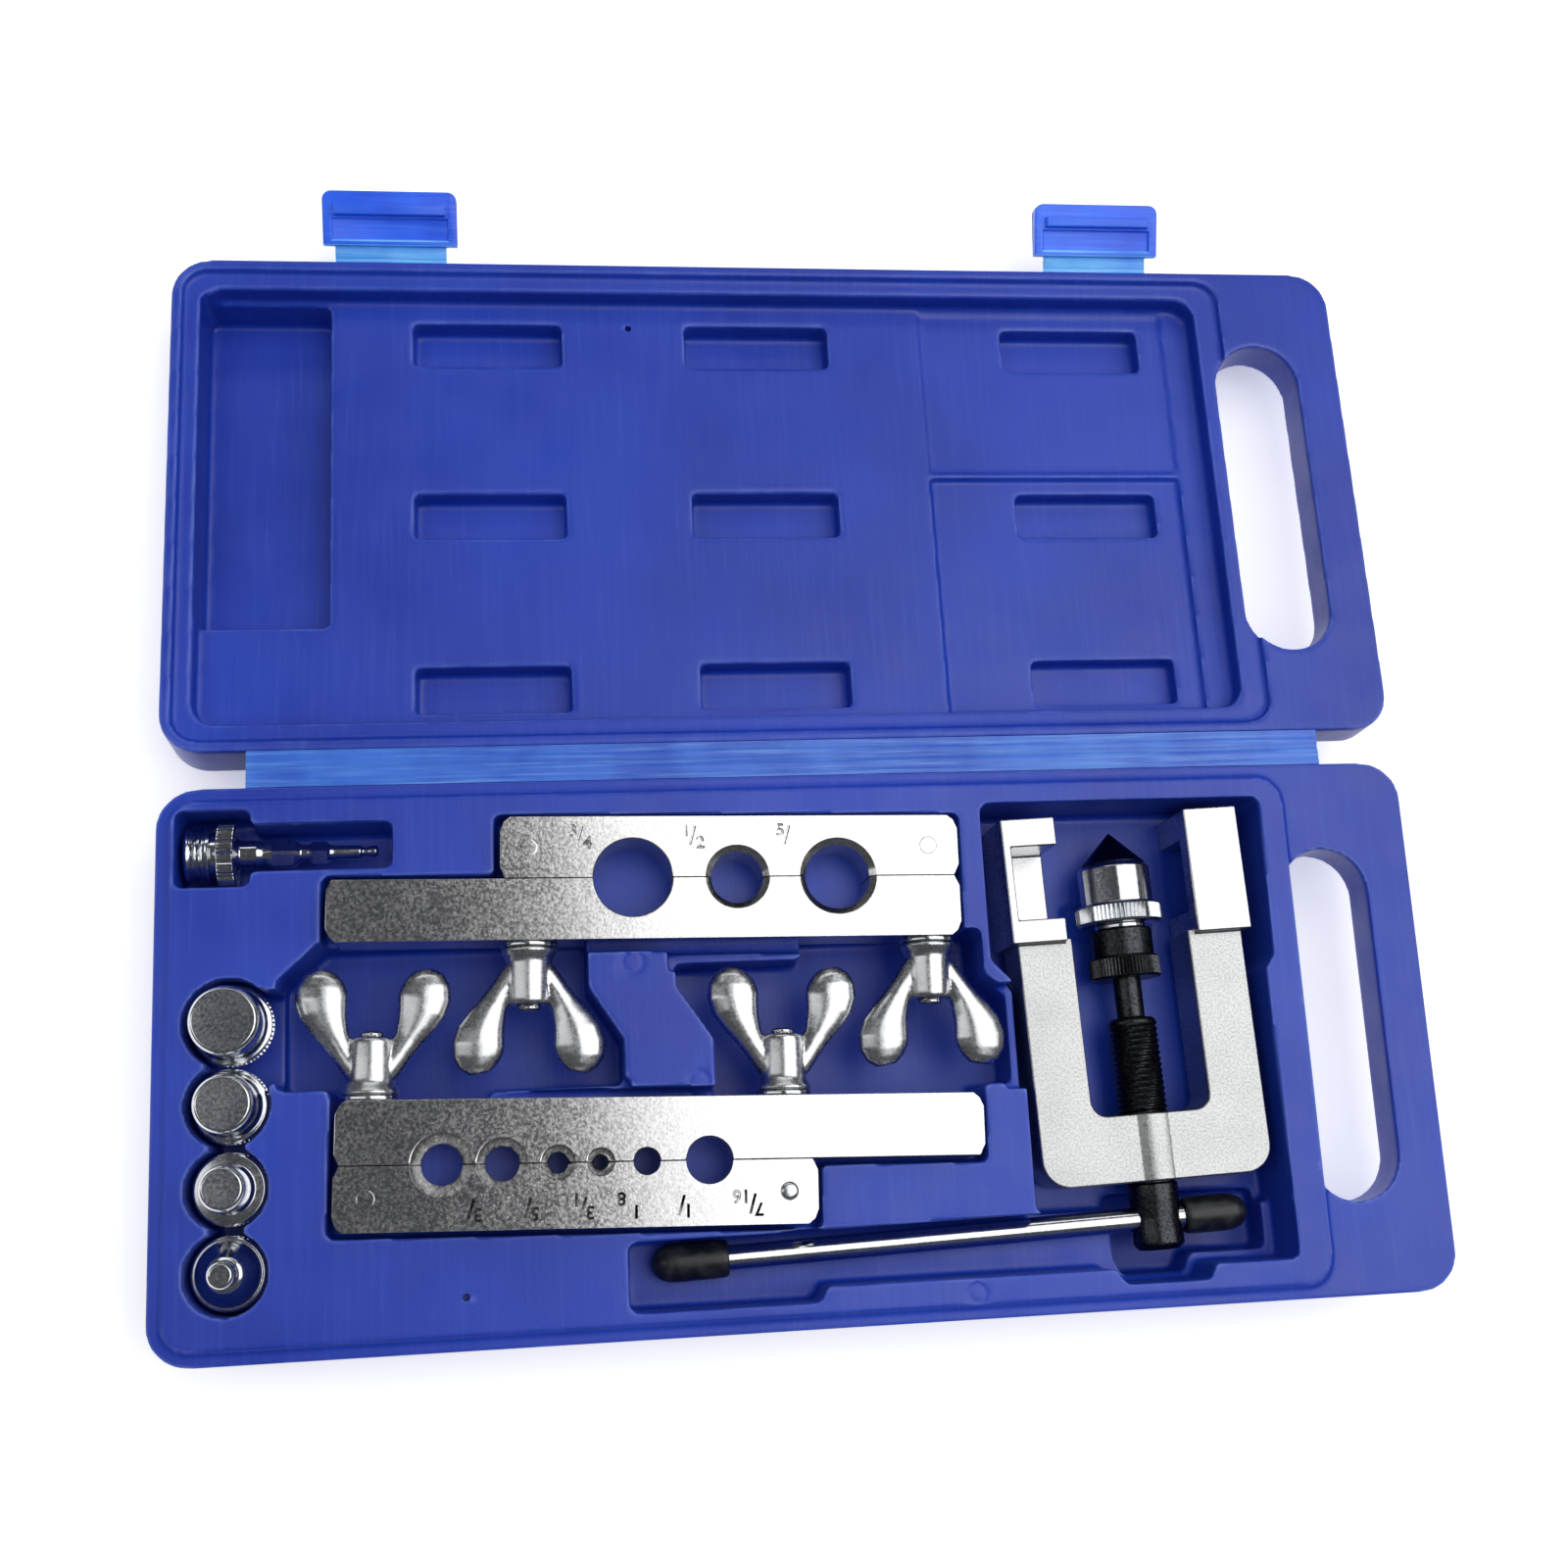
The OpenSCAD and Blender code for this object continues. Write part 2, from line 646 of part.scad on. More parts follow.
module wing_nut(i) {
    along_stud(i) translate([0, 0, -washer_face + 0.02]) difference() {
        union() {
            cylinder(d = nut_hub_d + 1.6, h = 1.8);
            cylinder(d = nut_hub_d, h = nut_len - 0.04);
            wing(1);
            wing(-1);
        }
        translate([0, 0, -1]) cylinder(d = stud_d + 2 * run_gap, h = nut_len + 2);
        translate([0, 0, nut_len - 0.05]) cylinder(d = nut_hub_d - 0.4, h = wing_len);
    }
}

module bar_a_short() color(steel) bar_frame(bar_a_pos, bar_a_turn) short_half(bores_a);
module bar_a_long() color(steel) bar_frame(bar_a_pos, bar_a_turn) long_half(bores_a);
module bar_a_stud(i) color(steel) bar_frame(bar_a_pos, bar_a_turn) stud(i);
module bar_a_pin(i) color(steel) bar_frame(bar_a_pos, bar_a_turn) cross_pin(i);
module bar_a_washer(i) color(chrome) bar_frame(bar_a_pos, bar_a_turn) washer(i);
module bar_a_nut(i) color(chrome) bar_frame(bar_a_pos, bar_a_turn) wing_nut(i);
module bar_b_short() color(steel) bar_frame(bar_b_pos, bar_b_turn) short_half(bores_b);
module bar_b_long() color(steel) bar_frame(bar_b_pos, bar_b_turn) long_half(bores_b);
module bar_b_stud(i) color(steel) bar_frame(bar_b_pos, bar_b_turn) stud(i);
module bar_b_pin(i) color(steel) bar_frame(bar_b_pos, bar_b_turn) cross_pin(i);
module bar_b_washer(i) color(chrome) bar_frame(bar_b_pos, bar_b_turn) washer(i);
module bar_b_nut(i) color(chrome) bar_frame(bar_b_pos, bar_b_turn) wing_nut(i);

// ---------- yoke and feed screw ----------

module yoke_frame() translate([yoke_pos[0], yoke_pos[1], yoke_z]) rotate(yoke_turn) children();

// turned part on the screw axis: lo and hi are places along the axis
module on_axis(lo) translate([0, lo, 0]) rotate([-90, 0, 0]) children();

module slab(t) translate([0, 0, -t / 2]) linear_extrude(t) children();

module yoke() {
    hook_in = arm_in + hook_step;
    color(steel) yoke_frame() difference() {
        union() {
            // U of the two arms and the crossbar
            slab(yoke_t) difference() {
                rrect(-arm_out, yoke_foot, arm_out, arm_end + 12, 7);
                rrect(-arm_in, crotch_v, arm_in, arm_end + 30, 4);
                translate([-arm_out - 1, arm_end + 1]) square([2 * arm_out + 2, 20]);
            }
            // thick hook ends, which stand out past the arms
            for (s = [-1, 1]) slab(hook_t) translate([s > 0 ? hook_in : -hook_in - yoke_arm, arm_end])
                square([yoke_arm, hook_end - arm_end]);
            // boss of the screw, a ridge across both faces of the crossbar
            on_axis(yoke_foot) cylinder(d = yoke_t + 2.4, h = crossbar);
        }
        on_axis(yoke_foot - 1) cylinder(d = screw_d + 2 * run_gap, h = crossbar + 2);
        // bar slots: the left one opens upwards, the right one downwards
        translate([-hook_in - slot_depth, slot_near, -hook_t / 2 + 5.5])
            cube([slot_depth + 1, hook_slot, hook_t]);
        translate([hook_in - 1, slot_near, -hook_t / 2 - 5.5]) cube([slot_depth + 1, hook_slot, hook_t]);
    }
}

module feed_screw() {
    color(black_oxide) yoke_frame() difference() {
        union() {
            on_axis(screw_foot) cylinder(d = screw_d, h = screw_head_v - screw_foot);
            on_axis(screw_foot + 10) cylinder(d = screw_d, h = thread_top - screw_foot - 11);
            on_axis(thread_top - 1.01) cylinder(d1 = screw_d, d2 = screw_d - 2, h = 1.01);
            on_axis(thread_top - 1) cylinder(d = shaft_d, h = shaft_top - thread_top + 1);
            on_axis(shaft_top - 1.2) cylinder(d = shaft_d + 1.6, h = 1.2);
        }
        translate([-20, t_hole_v, 0]) rotate([0, 90, 0]) cylinder(d = t_bar_d + 2 * run_gap, h = 40);
    }
}

module thrust_ball() {
    color(chrome) yoke_frame() translate([0, shaft_top + ball_d / 2 + 0.03, 0]) sphere(d = ball_d);
}

module swivel_socket() {
    chamber = shaft_d + 2;
    color(black_oxide) yoke_frame() difference() {
        union() {
            on_axis(socket_lo) cylinder(d = 18, h = 5.6);
            on_axis(socket_lo) cylinder(d = 15.7, h = socket_hi - socket_lo);
        }
        on_axis(socket_lo - 1) cylinder(d = shaft_d + 2 * run_gap, h = 6);
        on_axis(shaft_top - 1.5) cylinder(d = chamber, h = ball_d + 1.7);
        on_axis(shaft_top + ball_d) cylinder(d = 10, h = 10);
    }
}

module cone_holder() {
    color(chrome) yoke_frame() difference() {
        union() {
            on_axis(shaft_top + ball_d + 0.1) cylinder(d = 9.98, h = chuck_lo - shaft_top - ball_d);
            on_axis(socket_hi + 0.02) cylinder(d = 13, h = chuck_lo - socket_hi);
            on_axis(chuck_lo) cylinder(d = holder_d, h = chuck_mid - chuck_lo);
            on_axis(chuck_lo) cylinder(d = 18.4, h = chuck_hi - chuck_lo);
        }
        on_axis(chuck_hi - thread_len - 0.4) cylinder(d = chuck_d + 0.04, h = thread_len + 1);
    }
}

module flaring_cone() {
    color(cone_blue) yoke_frame() {
        on_axis(chuck_hi - thread_len) cylinder(d = chuck_d, h = thread_len + 0.02);
        on_axis(chuck_hi + 0.02) cylinder(d = cone_d, h = 0.6);
        on_axis(chuck_hi + 0.62) cylinder(d1 = cone_d, d2 = 0.4, h = cone_tip - chuck_hi - 0.62);
    }
}

module along_handle(x) translate([x, t_hole_v, 0]) rotate([0, 90, 0]) children();

module t_bar() {
    color(chrome) yoke_frame() along_handle(t_left + 2) cylinder(d = t_bar_d, h = t_bar_len - 4);
}

// plastic cap: a sleeve with a rounded closed end, open towards the middle of the bar
module t_cap(len) {
    rotate_extrude() difference() {
        union() {
            square([t_cap_d / 2, len - 2.5]);
            square([t_cap_d / 2 - 2.5, len]);
            translate([t_cap_d / 2 - 2.5, len - 2.5]) circle(2.5);
        }
        translate([-3, -1]) square([t_bar_d / 2 + 0.02 + 3, len - 2 + 1]);
        translate([-5, -1]) square([5, len + 2]);
    }
}

module t_cap_left() {
    color(cap_black) yoke_frame() translate([t_left + t_cap_len[0], t_hole_v, 0]) rotate([0, -90, 0])
        t_cap(t_cap_len[0]);
}

module t_cap_right() {
    color(cap_black) yoke_frame() translate([t_right - t_cap_len[1], t_hole_v, 0]) rotate([0, 90, 0])
        t_cap(t_cap_len[1]);
}

// ---------- adapters ----------

// thread, relief groove and knurled ring, from the thread's end upwards
module adapter_foot_part(ring_d) {
    cylinder(d1 = chuck_d - 1.6, d2 = chuck_d, h = 0.8);
    translate([0, 0, 0.8]) cylinder(d = chuck_d, h = thread_len - 0.8);
    translate([0, 0, thread_len]) cylinder(d = chuck_d - 2.4, h = groove_len);
    translate([0, 0, thread_len + groove_len]) cylinder(d = ring_d, h = ring_t);
}

module punch_adapter(i) {
    ring_d = adapter_sizes[i][0];
    d = adapter_sizes[i][1];
    color(chrome) translate([adapter_x, adapter_y0 - i * adapter_pitch, adapter_foot]) {
        adapter_foot_part(ring_d);
        translate([0, 0, ring_top - adapter_foot]) {
            if (i < 3) {
                cylinder(d = d, h = punch_h - 1);
                translate([0, 0, punch_h - 1]) cylinder(d1 = d, d2 = d - 2, h = 1);
            } else {
                cylinder(d1 = ring_d - 2.4, d2 = d, h = punch_h * 0.46);
                cylinder(d = d, h = punch_h - 0.7);
                translate([0, 0, punch_h - 0.7]) cylinder(d1 = d, d2 = d - 1.4, h = 0.7);
            }
        }
    }
}

module adapter_1() punch_adapter(0);
module adapter_2() punch_adapter(1);
module adapter_3() punch_adapter(2);
module adapter_4() punch_adapter(3);

// lying punch with three smaller and smaller steps
module stepped_adapter() {
    a = thread_len + groove_len + ring_t - 6;
    color(chrome) translate([step_pos[0], step_pos[1], step_z]) rotate([0, 90, 0]) {
        cylinder(d1 = 12.6, d2 = 14, h = 0.8);
        translate([0, 0, 0.8]) cylinder(d = 14, h = 5.2);
        translate([0, 0, 6]) cylinder(d = 11, h = 1.6);
        translate([0, 0, 7.6]) cylinder(d = step_ring_d, h = 4.4);
        translate([0, 0, 12]) cylinder(d = 6, h = 8.6);
        translate([0, 0, 20.6]) cylinder(d1 = 6, d2 = 3.6, h = 7);
        translate([0, 0, 27.6]) cylinder(d = 3.6, h = 1.4);
        translate([0, 0, 29]) cylinder(d = 4.6, h = 4.4);
        translate([0, 0, 33.4]) cylinder(d1 = 4.6, d2 = 2.6, h = 1.6);
        translate([0, 0, 35]) cylinder(d = 2.6, h = 6.4);
        translate([0, 0, 41.4]) cylinder(d1 = 2.6, d2 = 1.6, h = 0.8);
        translate([0, 0, 42.2]) cylinder(d = 1.6, h = 3.6);
    }
}

base_outer_shell();
base_inner_tray();
hinge_leaf_base();
lid_outer_shell();
lid_inner_liner();
hinge_leaf_lid();
latch_left();
latch_right();
latch_leaf_left();
latch_leaf_right();
yoke();
feed_screw();
thrust_ball();
swivel_socket();
cone_holder();
flaring_cone();
t_bar();
t_cap_left();
t_cap_right();
bar_a_short();
bar_a_long();
bar_a_stud(0);  // bar_a_stud_1
bar_a_stud(1);  // bar_a_stud_2
bar_a_pin(0);  // bar_a_pin_1
bar_a_pin(1);  // bar_a_pin_2
bar_a_washer(0);  // bar_a_washer_1
bar_a_washer(1);  // bar_a_washer_2
bar_a_nut(0);  // bar_a_nut_1
bar_a_nut(1);  // bar_a_nut_2
bar_b_short();
bar_b_long();
bar_b_stud(0);  // bar_b_stud_1
bar_b_stud(1);  // bar_b_stud_2
bar_b_pin(0);  // bar_b_pin_1
bar_b_pin(1);  // bar_b_pin_2
bar_b_washer(0);  // bar_b_washer_1
bar_b_washer(1);  // bar_b_washer_2
bar_b_nut(0);  // bar_b_nut_1
bar_b_nut(1);  // bar_b_nut_2
adapter_1();
adapter_2();
adapter_3();
adapter_4();
stepped_adapter();
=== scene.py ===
# %% [markdown]
# # A flaring and swaging set in its moulded case
# The set lies open on a bench: two split clamp bars with wing nuts, a hooked yoke with its feed
# screw and cone, four screw-on punches and one stepped punch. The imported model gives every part's
# true size and place, so this lesson only adds what a maker's eye would look for: rounded edges,
# threads, knurls, castings with grain, and finishes that catch the light as the real ones do.

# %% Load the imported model
import json
import math
import bpy
import bmesh
from mathutils import Matrix, Vector


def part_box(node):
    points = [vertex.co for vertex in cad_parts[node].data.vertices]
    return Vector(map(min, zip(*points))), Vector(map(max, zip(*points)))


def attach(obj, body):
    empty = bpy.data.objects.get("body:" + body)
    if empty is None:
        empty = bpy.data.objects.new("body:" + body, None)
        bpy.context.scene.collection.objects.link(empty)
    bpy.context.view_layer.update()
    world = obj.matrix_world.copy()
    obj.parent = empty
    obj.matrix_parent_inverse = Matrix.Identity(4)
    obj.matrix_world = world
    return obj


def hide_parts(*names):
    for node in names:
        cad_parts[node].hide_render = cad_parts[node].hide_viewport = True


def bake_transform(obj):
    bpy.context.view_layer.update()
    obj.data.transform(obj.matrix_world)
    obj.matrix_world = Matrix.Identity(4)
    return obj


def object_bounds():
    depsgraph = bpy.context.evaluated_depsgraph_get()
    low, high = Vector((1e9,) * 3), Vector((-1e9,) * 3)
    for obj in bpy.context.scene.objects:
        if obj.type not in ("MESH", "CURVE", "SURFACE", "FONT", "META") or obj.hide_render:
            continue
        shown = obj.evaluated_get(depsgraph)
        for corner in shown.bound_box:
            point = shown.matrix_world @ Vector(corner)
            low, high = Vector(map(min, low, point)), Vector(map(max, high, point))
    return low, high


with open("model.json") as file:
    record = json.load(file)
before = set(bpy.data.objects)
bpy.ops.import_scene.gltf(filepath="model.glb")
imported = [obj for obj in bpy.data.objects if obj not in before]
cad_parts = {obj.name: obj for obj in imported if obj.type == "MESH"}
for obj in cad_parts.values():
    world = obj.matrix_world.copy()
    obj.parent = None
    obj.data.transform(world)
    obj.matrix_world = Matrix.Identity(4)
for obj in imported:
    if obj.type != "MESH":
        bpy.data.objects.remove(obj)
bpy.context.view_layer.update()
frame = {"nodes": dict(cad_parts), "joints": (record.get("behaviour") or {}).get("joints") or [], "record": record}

MM = 0.001
print("solids in the packed model:", len(frame["nodes"]))

# %% [markdown]
# ## The camera
# The set is looked at from about half a metre above the bench, a little to the left of its middle
# and almost straight down. The camera comes first, so that every later step can be judged in the
# same view. Its three turns are given about the bench's own axes.

# %% Camera
CAMERA_PLACE = Vector((-68.52, -36.90, 487.40)) * MM
CAMERA_TURNS = (math.radians(12.566), math.radians(-7.722), math.radians(-1.324))
LENS_MM = 43.22

camera = bpy.data.objects.new("Camera", bpy.data.cameras.new("Camera"))
camera.data.sensor_width = 36.0
camera.data.lens = LENS_MM
camera.data.clip_start = 0.01
camera.location = CAMERA_PLACE
camera.rotation_mode = "ZYX"
camera.rotation_euler = CAMERA_TURNS
bpy.context.scene.collection.objects.link(camera)
bpy.context.scene.camera = camera
print("the camera stands", round(camera.location.z / MM), "mm above the bench")

# %% [markdown]
# ## Small helpers for materials
# Colours are written as hex sRGB, the way a paint chart gives them, and turned to the linear values
# that shaders need. One function adds any node: settings are its properties, inputs are either
# values or the sockets that feed it.

# %% Colour and node helpers
def linear(hex_colour):
    channels = [int(hex_colour[i:i + 2], 16) / 255 for i in (1, 3, 5)]
    return tuple(c / 12.92 if c <= 0.04045 else ((c + 0.055) / 1.055) ** 2.4 for c in channels) + (1.0,)


def add(tree, kind, inputs=None, **settings):
    made = tree.nodes.new(kind)
    for name, value in settings.items():
        setattr(made, name, value)
    for name, value in (inputs or {}).items():
        if isinstance(value, bpy.types.NodeSocket):
            tree.links.new(value, made.inputs[name])
        else:
            made.inputs[name].default_value = value
    return made


def new_material(name, **constants):
    made = bpy.data.materials.new(name)
    made.use_nodes = True
    shader = made.node_tree.nodes["Principled BSDF"]
    for socket, value in constants.items():
        shader.inputs[socket.replace("_", " ")].default_value = value
    return made, made.node_tree, shader


def per_mm(size_mm):
    """Scale of a texture whose pattern should repeat about every size_mm."""
    return 1 / (size_mm * MM)

# %% [markdown]
# ## The case's plastic
# Cases like this are blow-moulded from high-density polyethylene: an air-blown tube is pinched
# between two halves of a mould. The mould is sand-blasted so that air can escape, which leaves a
# fine satin grain. The plastic is waxy, so light enters it a little. Its edges are painted paler:
# partly wear where they rub on other things, partly a painted highlight along the rims. The broad
# tone drifts where the wall is thinner, and faint straight lines show where the soft tube was stretched.

# %% Blue polyethylene
def moulded_polyethylene():
    made, tree, shader = new_material("Blow-moulded polyethylene, blue", IOR=1.54, Subsurface_Weight=0.10,
                                      Subsurface_Scale=0.002)
    shader.inputs["Subsurface Radius"].default_value = (0.3, 0.5, 1.0)
    place = add(tree, "ShaderNodeTexCoord").outputs["Object"]
    stretched = add(tree, "ShaderNodeMapping", {"Vector": place, "Scale": (1.0, 0.035, 0.3)}).outputs[0]
    # a wall that is thicker here and thinner there: the tone drifts over about 55 mm
    wall = add(tree, "ShaderNodeTexNoise", {"Vector": place, "Scale": per_mm(55)}).outputs["Fac"]
    drift = add(tree, "ShaderNodeMapRange", {"Value": wall, "From Min": 0.35, "From Max": 0.65}).outputs[0]
    tone = add(tree, "ShaderNodeMix", {0: drift, 6: linear("#12309a"), 7: linear("#173aab")},
               data_type="RGBA")
    # draw marks about 1 mm apart, which run along the pull of the tube
    lines = add(tree, "ShaderNodeTexNoise",
                {"Vector": stretched, "Scale": per_mm(1.1), "Detail": 3.0}).outputs["Fac"]
    faint = add(tree, "ShaderNodeMapRange",
                {"Value": lines, "From Min": 0.5, "From Max": 0.8, "To Max": 0.14}).outputs[0]
    drawn = add(tree, "ShaderNodeMix", {0: faint, 6: tone.outputs[2], 7: linear("#4c69cf")},
                data_type="RGBA")
    # edges turn paler in patches of about 9 mm: partly rub wear, partly a painted highlight on the rims
    edge = add(tree, "ShaderNodeNewGeometry").outputs["Pointiness"]
    edge_wear_and_highlight = add(tree, "ShaderNodeMapRange",
                 {"Value": edge, "From Min": 0.512, "From Max": 0.56, "To Max": 0.75}).outputs[0]
    patch = add(tree, "ShaderNodeTexNoise",
                {"Vector": place, "Scale": per_mm(9), "Detail": 4.0}).outputs["Fac"]
    patchy_edge_wear_and_highlight = add(tree, "ShaderNodeMath", {0: edge_wear_and_highlight, 1: patch}, operation="MULTIPLY").outputs[0]
    wear_and_highlight_tone = add(tree, "ShaderNodeMix", {0: patchy_edge_wear_and_highlight, 6: drawn.outputs[2], 7: linear("#7d97ea")}, data_type="RGBA")
    tree.links.new(wear_and_highlight_tone.outputs[2], shader.inputs["Base Color"])
    # handling polishes it unevenly, over about 14 mm
    handled = add(tree, "ShaderNodeTexNoise",
                  {"Vector": place, "Scale": per_mm(14), "Detail": 3.0}).outputs["Fac"]
    gloss = add(tree, "ShaderNodeMapRange",
                {"Value": handled, "From Min": 0.3, "From Max": 0.7, "To Min": 0.33,
                                             "To Max": 0.46}).outputs[0]
    tree.links.new(gloss, shader.inputs["Roughness"])
    # relief: slow waves of 16 mm, the draw marks, then the blasted grain of half a millimetre
    wave = add(tree, "ShaderNodeTexNoise",
               {"Vector": place, "Scale": per_mm(16), "Detail": 1.0}).outputs["Fac"]
    grain = add(tree, "ShaderNodeTexNoise",
                {"Vector": place, "Scale": per_mm(0.55), "Detail": 3.0}).outputs["Fac"]
    slow = add(tree, "ShaderNodeBump", {"Height": wave, "Distance": 0.3 * MM, "Strength": 0.5})
    along = add(tree, "ShaderNodeBump", {"Height": lines, "Distance": 0.05 * MM, "Strength": 0.35,
                                         "Normal": slow.outputs[0]})
    fine = add(tree, "ShaderNodeBump", {"Height": grain, "Distance": 0.05 * MM, "Strength": 0.5,
                                        "Normal": along.outputs[0]})
    tree.links.new(fine.outputs[0], shader.inputs["Normal"])
    return made


case_plastic = moulded_polyethylene()
print("made:", case_plastic.name)

# %% [markdown]
# ## The strap's plastic
# The hinge strap and the bands of the two latches are the same plastic pressed thin. Light passes
# through it, so it looks paler, and where it has been folded it has whitened in fine lines along
# the crease.

# %% Thin, creased polyethylene
def pressed_polyethylene(name, dark, pale, crease_pale):
    made, tree, shader = new_material(name, Roughness=0.32, IOR=1.54, Subsurface_Weight=0.35,
                                      Subsurface_Scale=0.004)
    shader.inputs["Subsurface Radius"].default_value = (0.3, 0.6, 1.0)
    place = add(tree, "ShaderNodeTexCoord").outputs["Object"]
    folded = add(tree, "ShaderNodeMapping", {"Vector": place, "Scale": (0.03, 1.0, 1.0)}).outputs[0]
    # the pressed thickness varies over about 18 mm
    press = add(tree, "ShaderNodeTexNoise",
                {"Vector": place, "Scale": per_mm(18), "Detail": 3.0}).outputs["Fac"]
    thick = add(tree, "ShaderNodeMapRange", {"Value": press, "From Min": 0.35, "From Max": 0.65}).outputs[0]
    tone = add(tree, "ShaderNodeMix", {0: thick, 6: linear(dark), 7: linear(pale)}, data_type="RGBA")
    # whitened lines under a millimetre wide run along the fold
    crease = add(tree, "ShaderNodeTexNoise",
                 {"Vector": folded, "Scale": per_mm(0.8), "Detail": 3.0}).outputs["Fac"]
    white = add(tree, "ShaderNodeMapRange",
                {"Value": crease, "From Min": 0.5, "From Max": 0.75, "To Max": 0.4}).outputs[0]
    lined = add(tree, "ShaderNodeMix", {0: white, 6: tone.outputs[2], 7: linear(crease_pale)},
                data_type="RGBA")
    tree.links.new(lined.outputs[2], shader.inputs["Base Color"])
    ridge = add(tree, "ShaderNodeBump", {"Height": crease, "Distance": 0.08 * MM, "Strength": 0.6})
    tree.links.new(ridge.outputs[0], shader.inputs["Normal"])
    return made


strap_plastic = pressed_polyethylene("Thin polyethylene, strap", "#2150b8", "#3a70d2", "#7fb2f0")
band_plastic = pressed_polyethylene("Thin polyethylene, latch band", "#3f90ea", "#6cbcf8", "#c4e4fc")
flap_plastic = pressed_polyethylene("Pressed polyethylene, latch flap", "#1f56da", "#2c6cf0", "#5a94f6")
print("made:", strap_plastic.name, "/", band_plastic.name, "/", flap_plastic.name)

# %% [markdown]
# ## Metals
# The bars are nickel-plated steel over a fine-blasted face: bright, but grainy up close. The yoke
# is a zinc-plated casting whose arms keep the mould's rough skin, while its hook ends are ground
# flat. The nuts and adapters are bright chrome. All differ only in grain size, depth and gloss, so
# one function makes them. Metals keep the default IOR, since their colour comes from the base
# colour alone.

# %% Plated, cast and blackened metals
def plated_metal(name, colour, shade, gloss, grain_mm, grain_depth, smears=0.06):
    """gloss is the lowest and highest roughness; the grain shows as relief, the smears as haze."""
    made, tree, shader = new_material(name, Metallic=1.0)
    place = add(tree, "ShaderNodeTexCoord").outputs["Object"]
    grain = add(tree, "ShaderNodeTexNoise", {"Vector": place, "Scale": per_mm(grain_mm), "Detail": 3.0,
                                             "Roughness": 0.6}).outputs["Fac"]
    # painted shade in the grain's hollows: the base colour darkens where the grain is low
    painted_hollow_shade = add(tree, "ShaderNodeMapRange", {"Value": grain, "From Min": 0.38, "From Max": 0.6}).outputs[0]
    tone = add(tree, "ShaderNodeMix", {0: painted_hollow_shade, 6: linear(shade), 7: linear(colour)}, data_type="RGBA")
    tree.links.new(tone.outputs[2], shader.inputs["Base Color"])
    # finger smears of about 12 mm add to the roughness that the grain gives
    smear = add(tree, "ShaderNodeTexNoise",
                {"Vector": place, "Scale": per_mm(12), "Detail": 4.0}).outputs["Fac"]
    haze = add(tree, "ShaderNodeMapRange",
               {"Value": smear, "From Min": 0.35, "From Max": 0.7, "To Max": smears}).outputs[0]
    blast = add(tree, "ShaderNodeMapRange",
                {"Value": grain, "From Min": 0.3, "From Max": 0.7, "To Min": gloss[0],
                                             "To Max": gloss[1]}).outputs[0]
    rough = add(tree, "ShaderNodeMath", {0: blast, 1: haze}, operation="ADD").outputs[0]
    tree.links.new(rough, shader.inputs["Roughness"])
    swell = add(tree, "ShaderNodeBump", {"Height": smear, "Distance": 0.08 * MM, "Strength": 0.25})
    relief = add(tree, "ShaderNodeBump", {"Height": grain, "Distance": grain_depth * MM, "Strength": 0.8,
                                          "Normal": swell.outputs[0]})
    tree.links.new(relief.outputs[0], shader.inputs["Normal"])
    return made


bar_nickel = plated_metal("Nickel plate on blasted steel", "#e4e3e1", "#c2c2c4", (0.10, 0.20), 0.75, 0.017,
                          0.03)
nut_chrome = plated_metal("Chrome plate on cast steel", "#e2e3e4", "#cfd1d3", (0.20, 0.30), 0.8, 0.02)
turned_chrome = plated_metal("Chrome plate on turned steel", "#d9dbde", "#c6c9cd", (0.08, 0.16), 0.8, 0.008)
ground_zinc = plated_metal("Zinc plate on ground steel", "#dcdddd", "#c4c5c7", (0.18, 0.30), 0.45, 0.014)
cast_zinc = plated_metal("Zinc plate on a rough casting", "#c6c7c5", "#a2a3a4", (0.26, 0.38), 0.55, 0.06)
black_oxide = plated_metal("Black oxide on turned steel", "#4b4c50", "#2c2d30", (0.22, 0.34), 0.7, 0.012)
cone_steel = plated_metal("Hardened steel, blue-black", "#252c52", "#12162e", (0.24, 0.36), 0.8, 0.012)
print("materials so far:", len(bpy.data.materials))

# %% [markdown]
# ## Vinyl
# The T-bar wears two soft vinyl caps that were dipped or moulded and pushed on. Vinyl is black with
# a slight oily shine and picks up dust, so its roughness is patchy.

# %% Black vinyl
def soft_vinyl():
    made, tree, shader = new_material("Black vinyl", IOR=1.53)
    place = add(tree, "ShaderNodeTexCoord").outputs["Object"]
    dust = add(tree, "ShaderNodeTexNoise",
               {"Vector": place, "Scale": per_mm(3.5), "Detail": 4.0}).outputs["Fac"]
    grey = add(tree, "ShaderNodeMapRange",
               {"Value": dust, "From Min": 0.45, "From Max": 0.75, "To Max": 0.5}).outputs[0]
    tone = add(tree, "ShaderNodeMix", {0: grey, 6: linear("#121316"), 7: linear("#34363c")},
               data_type="RGBA")
    tree.links.new(tone.outputs[2], shader.inputs["Base Color"])
    gloss = add(tree, "ShaderNodeMapRange",
                {"Value": dust, "From Min": 0.3, "From Max": 0.7, "To Min": 0.28,
                                             "To Max": 0.48}).outputs[0]
    tree.links.new(gloss, shader.inputs["Roughness"])
    skin = add(tree, "ShaderNodeTexNoise", {"Vector": place, "Scale": per_mm(0.7)}).outputs["Fac"]
    relief = add(tree, "ShaderNodeBump", {"Height": skin, "Distance": 0.03 * MM, "Strength": 0.6})
    tree.links.new(relief.outputs[0], shader.inputs["Normal"])
    return made


black_vinyl = soft_vinyl()
print("made:", black_vinyl.name)
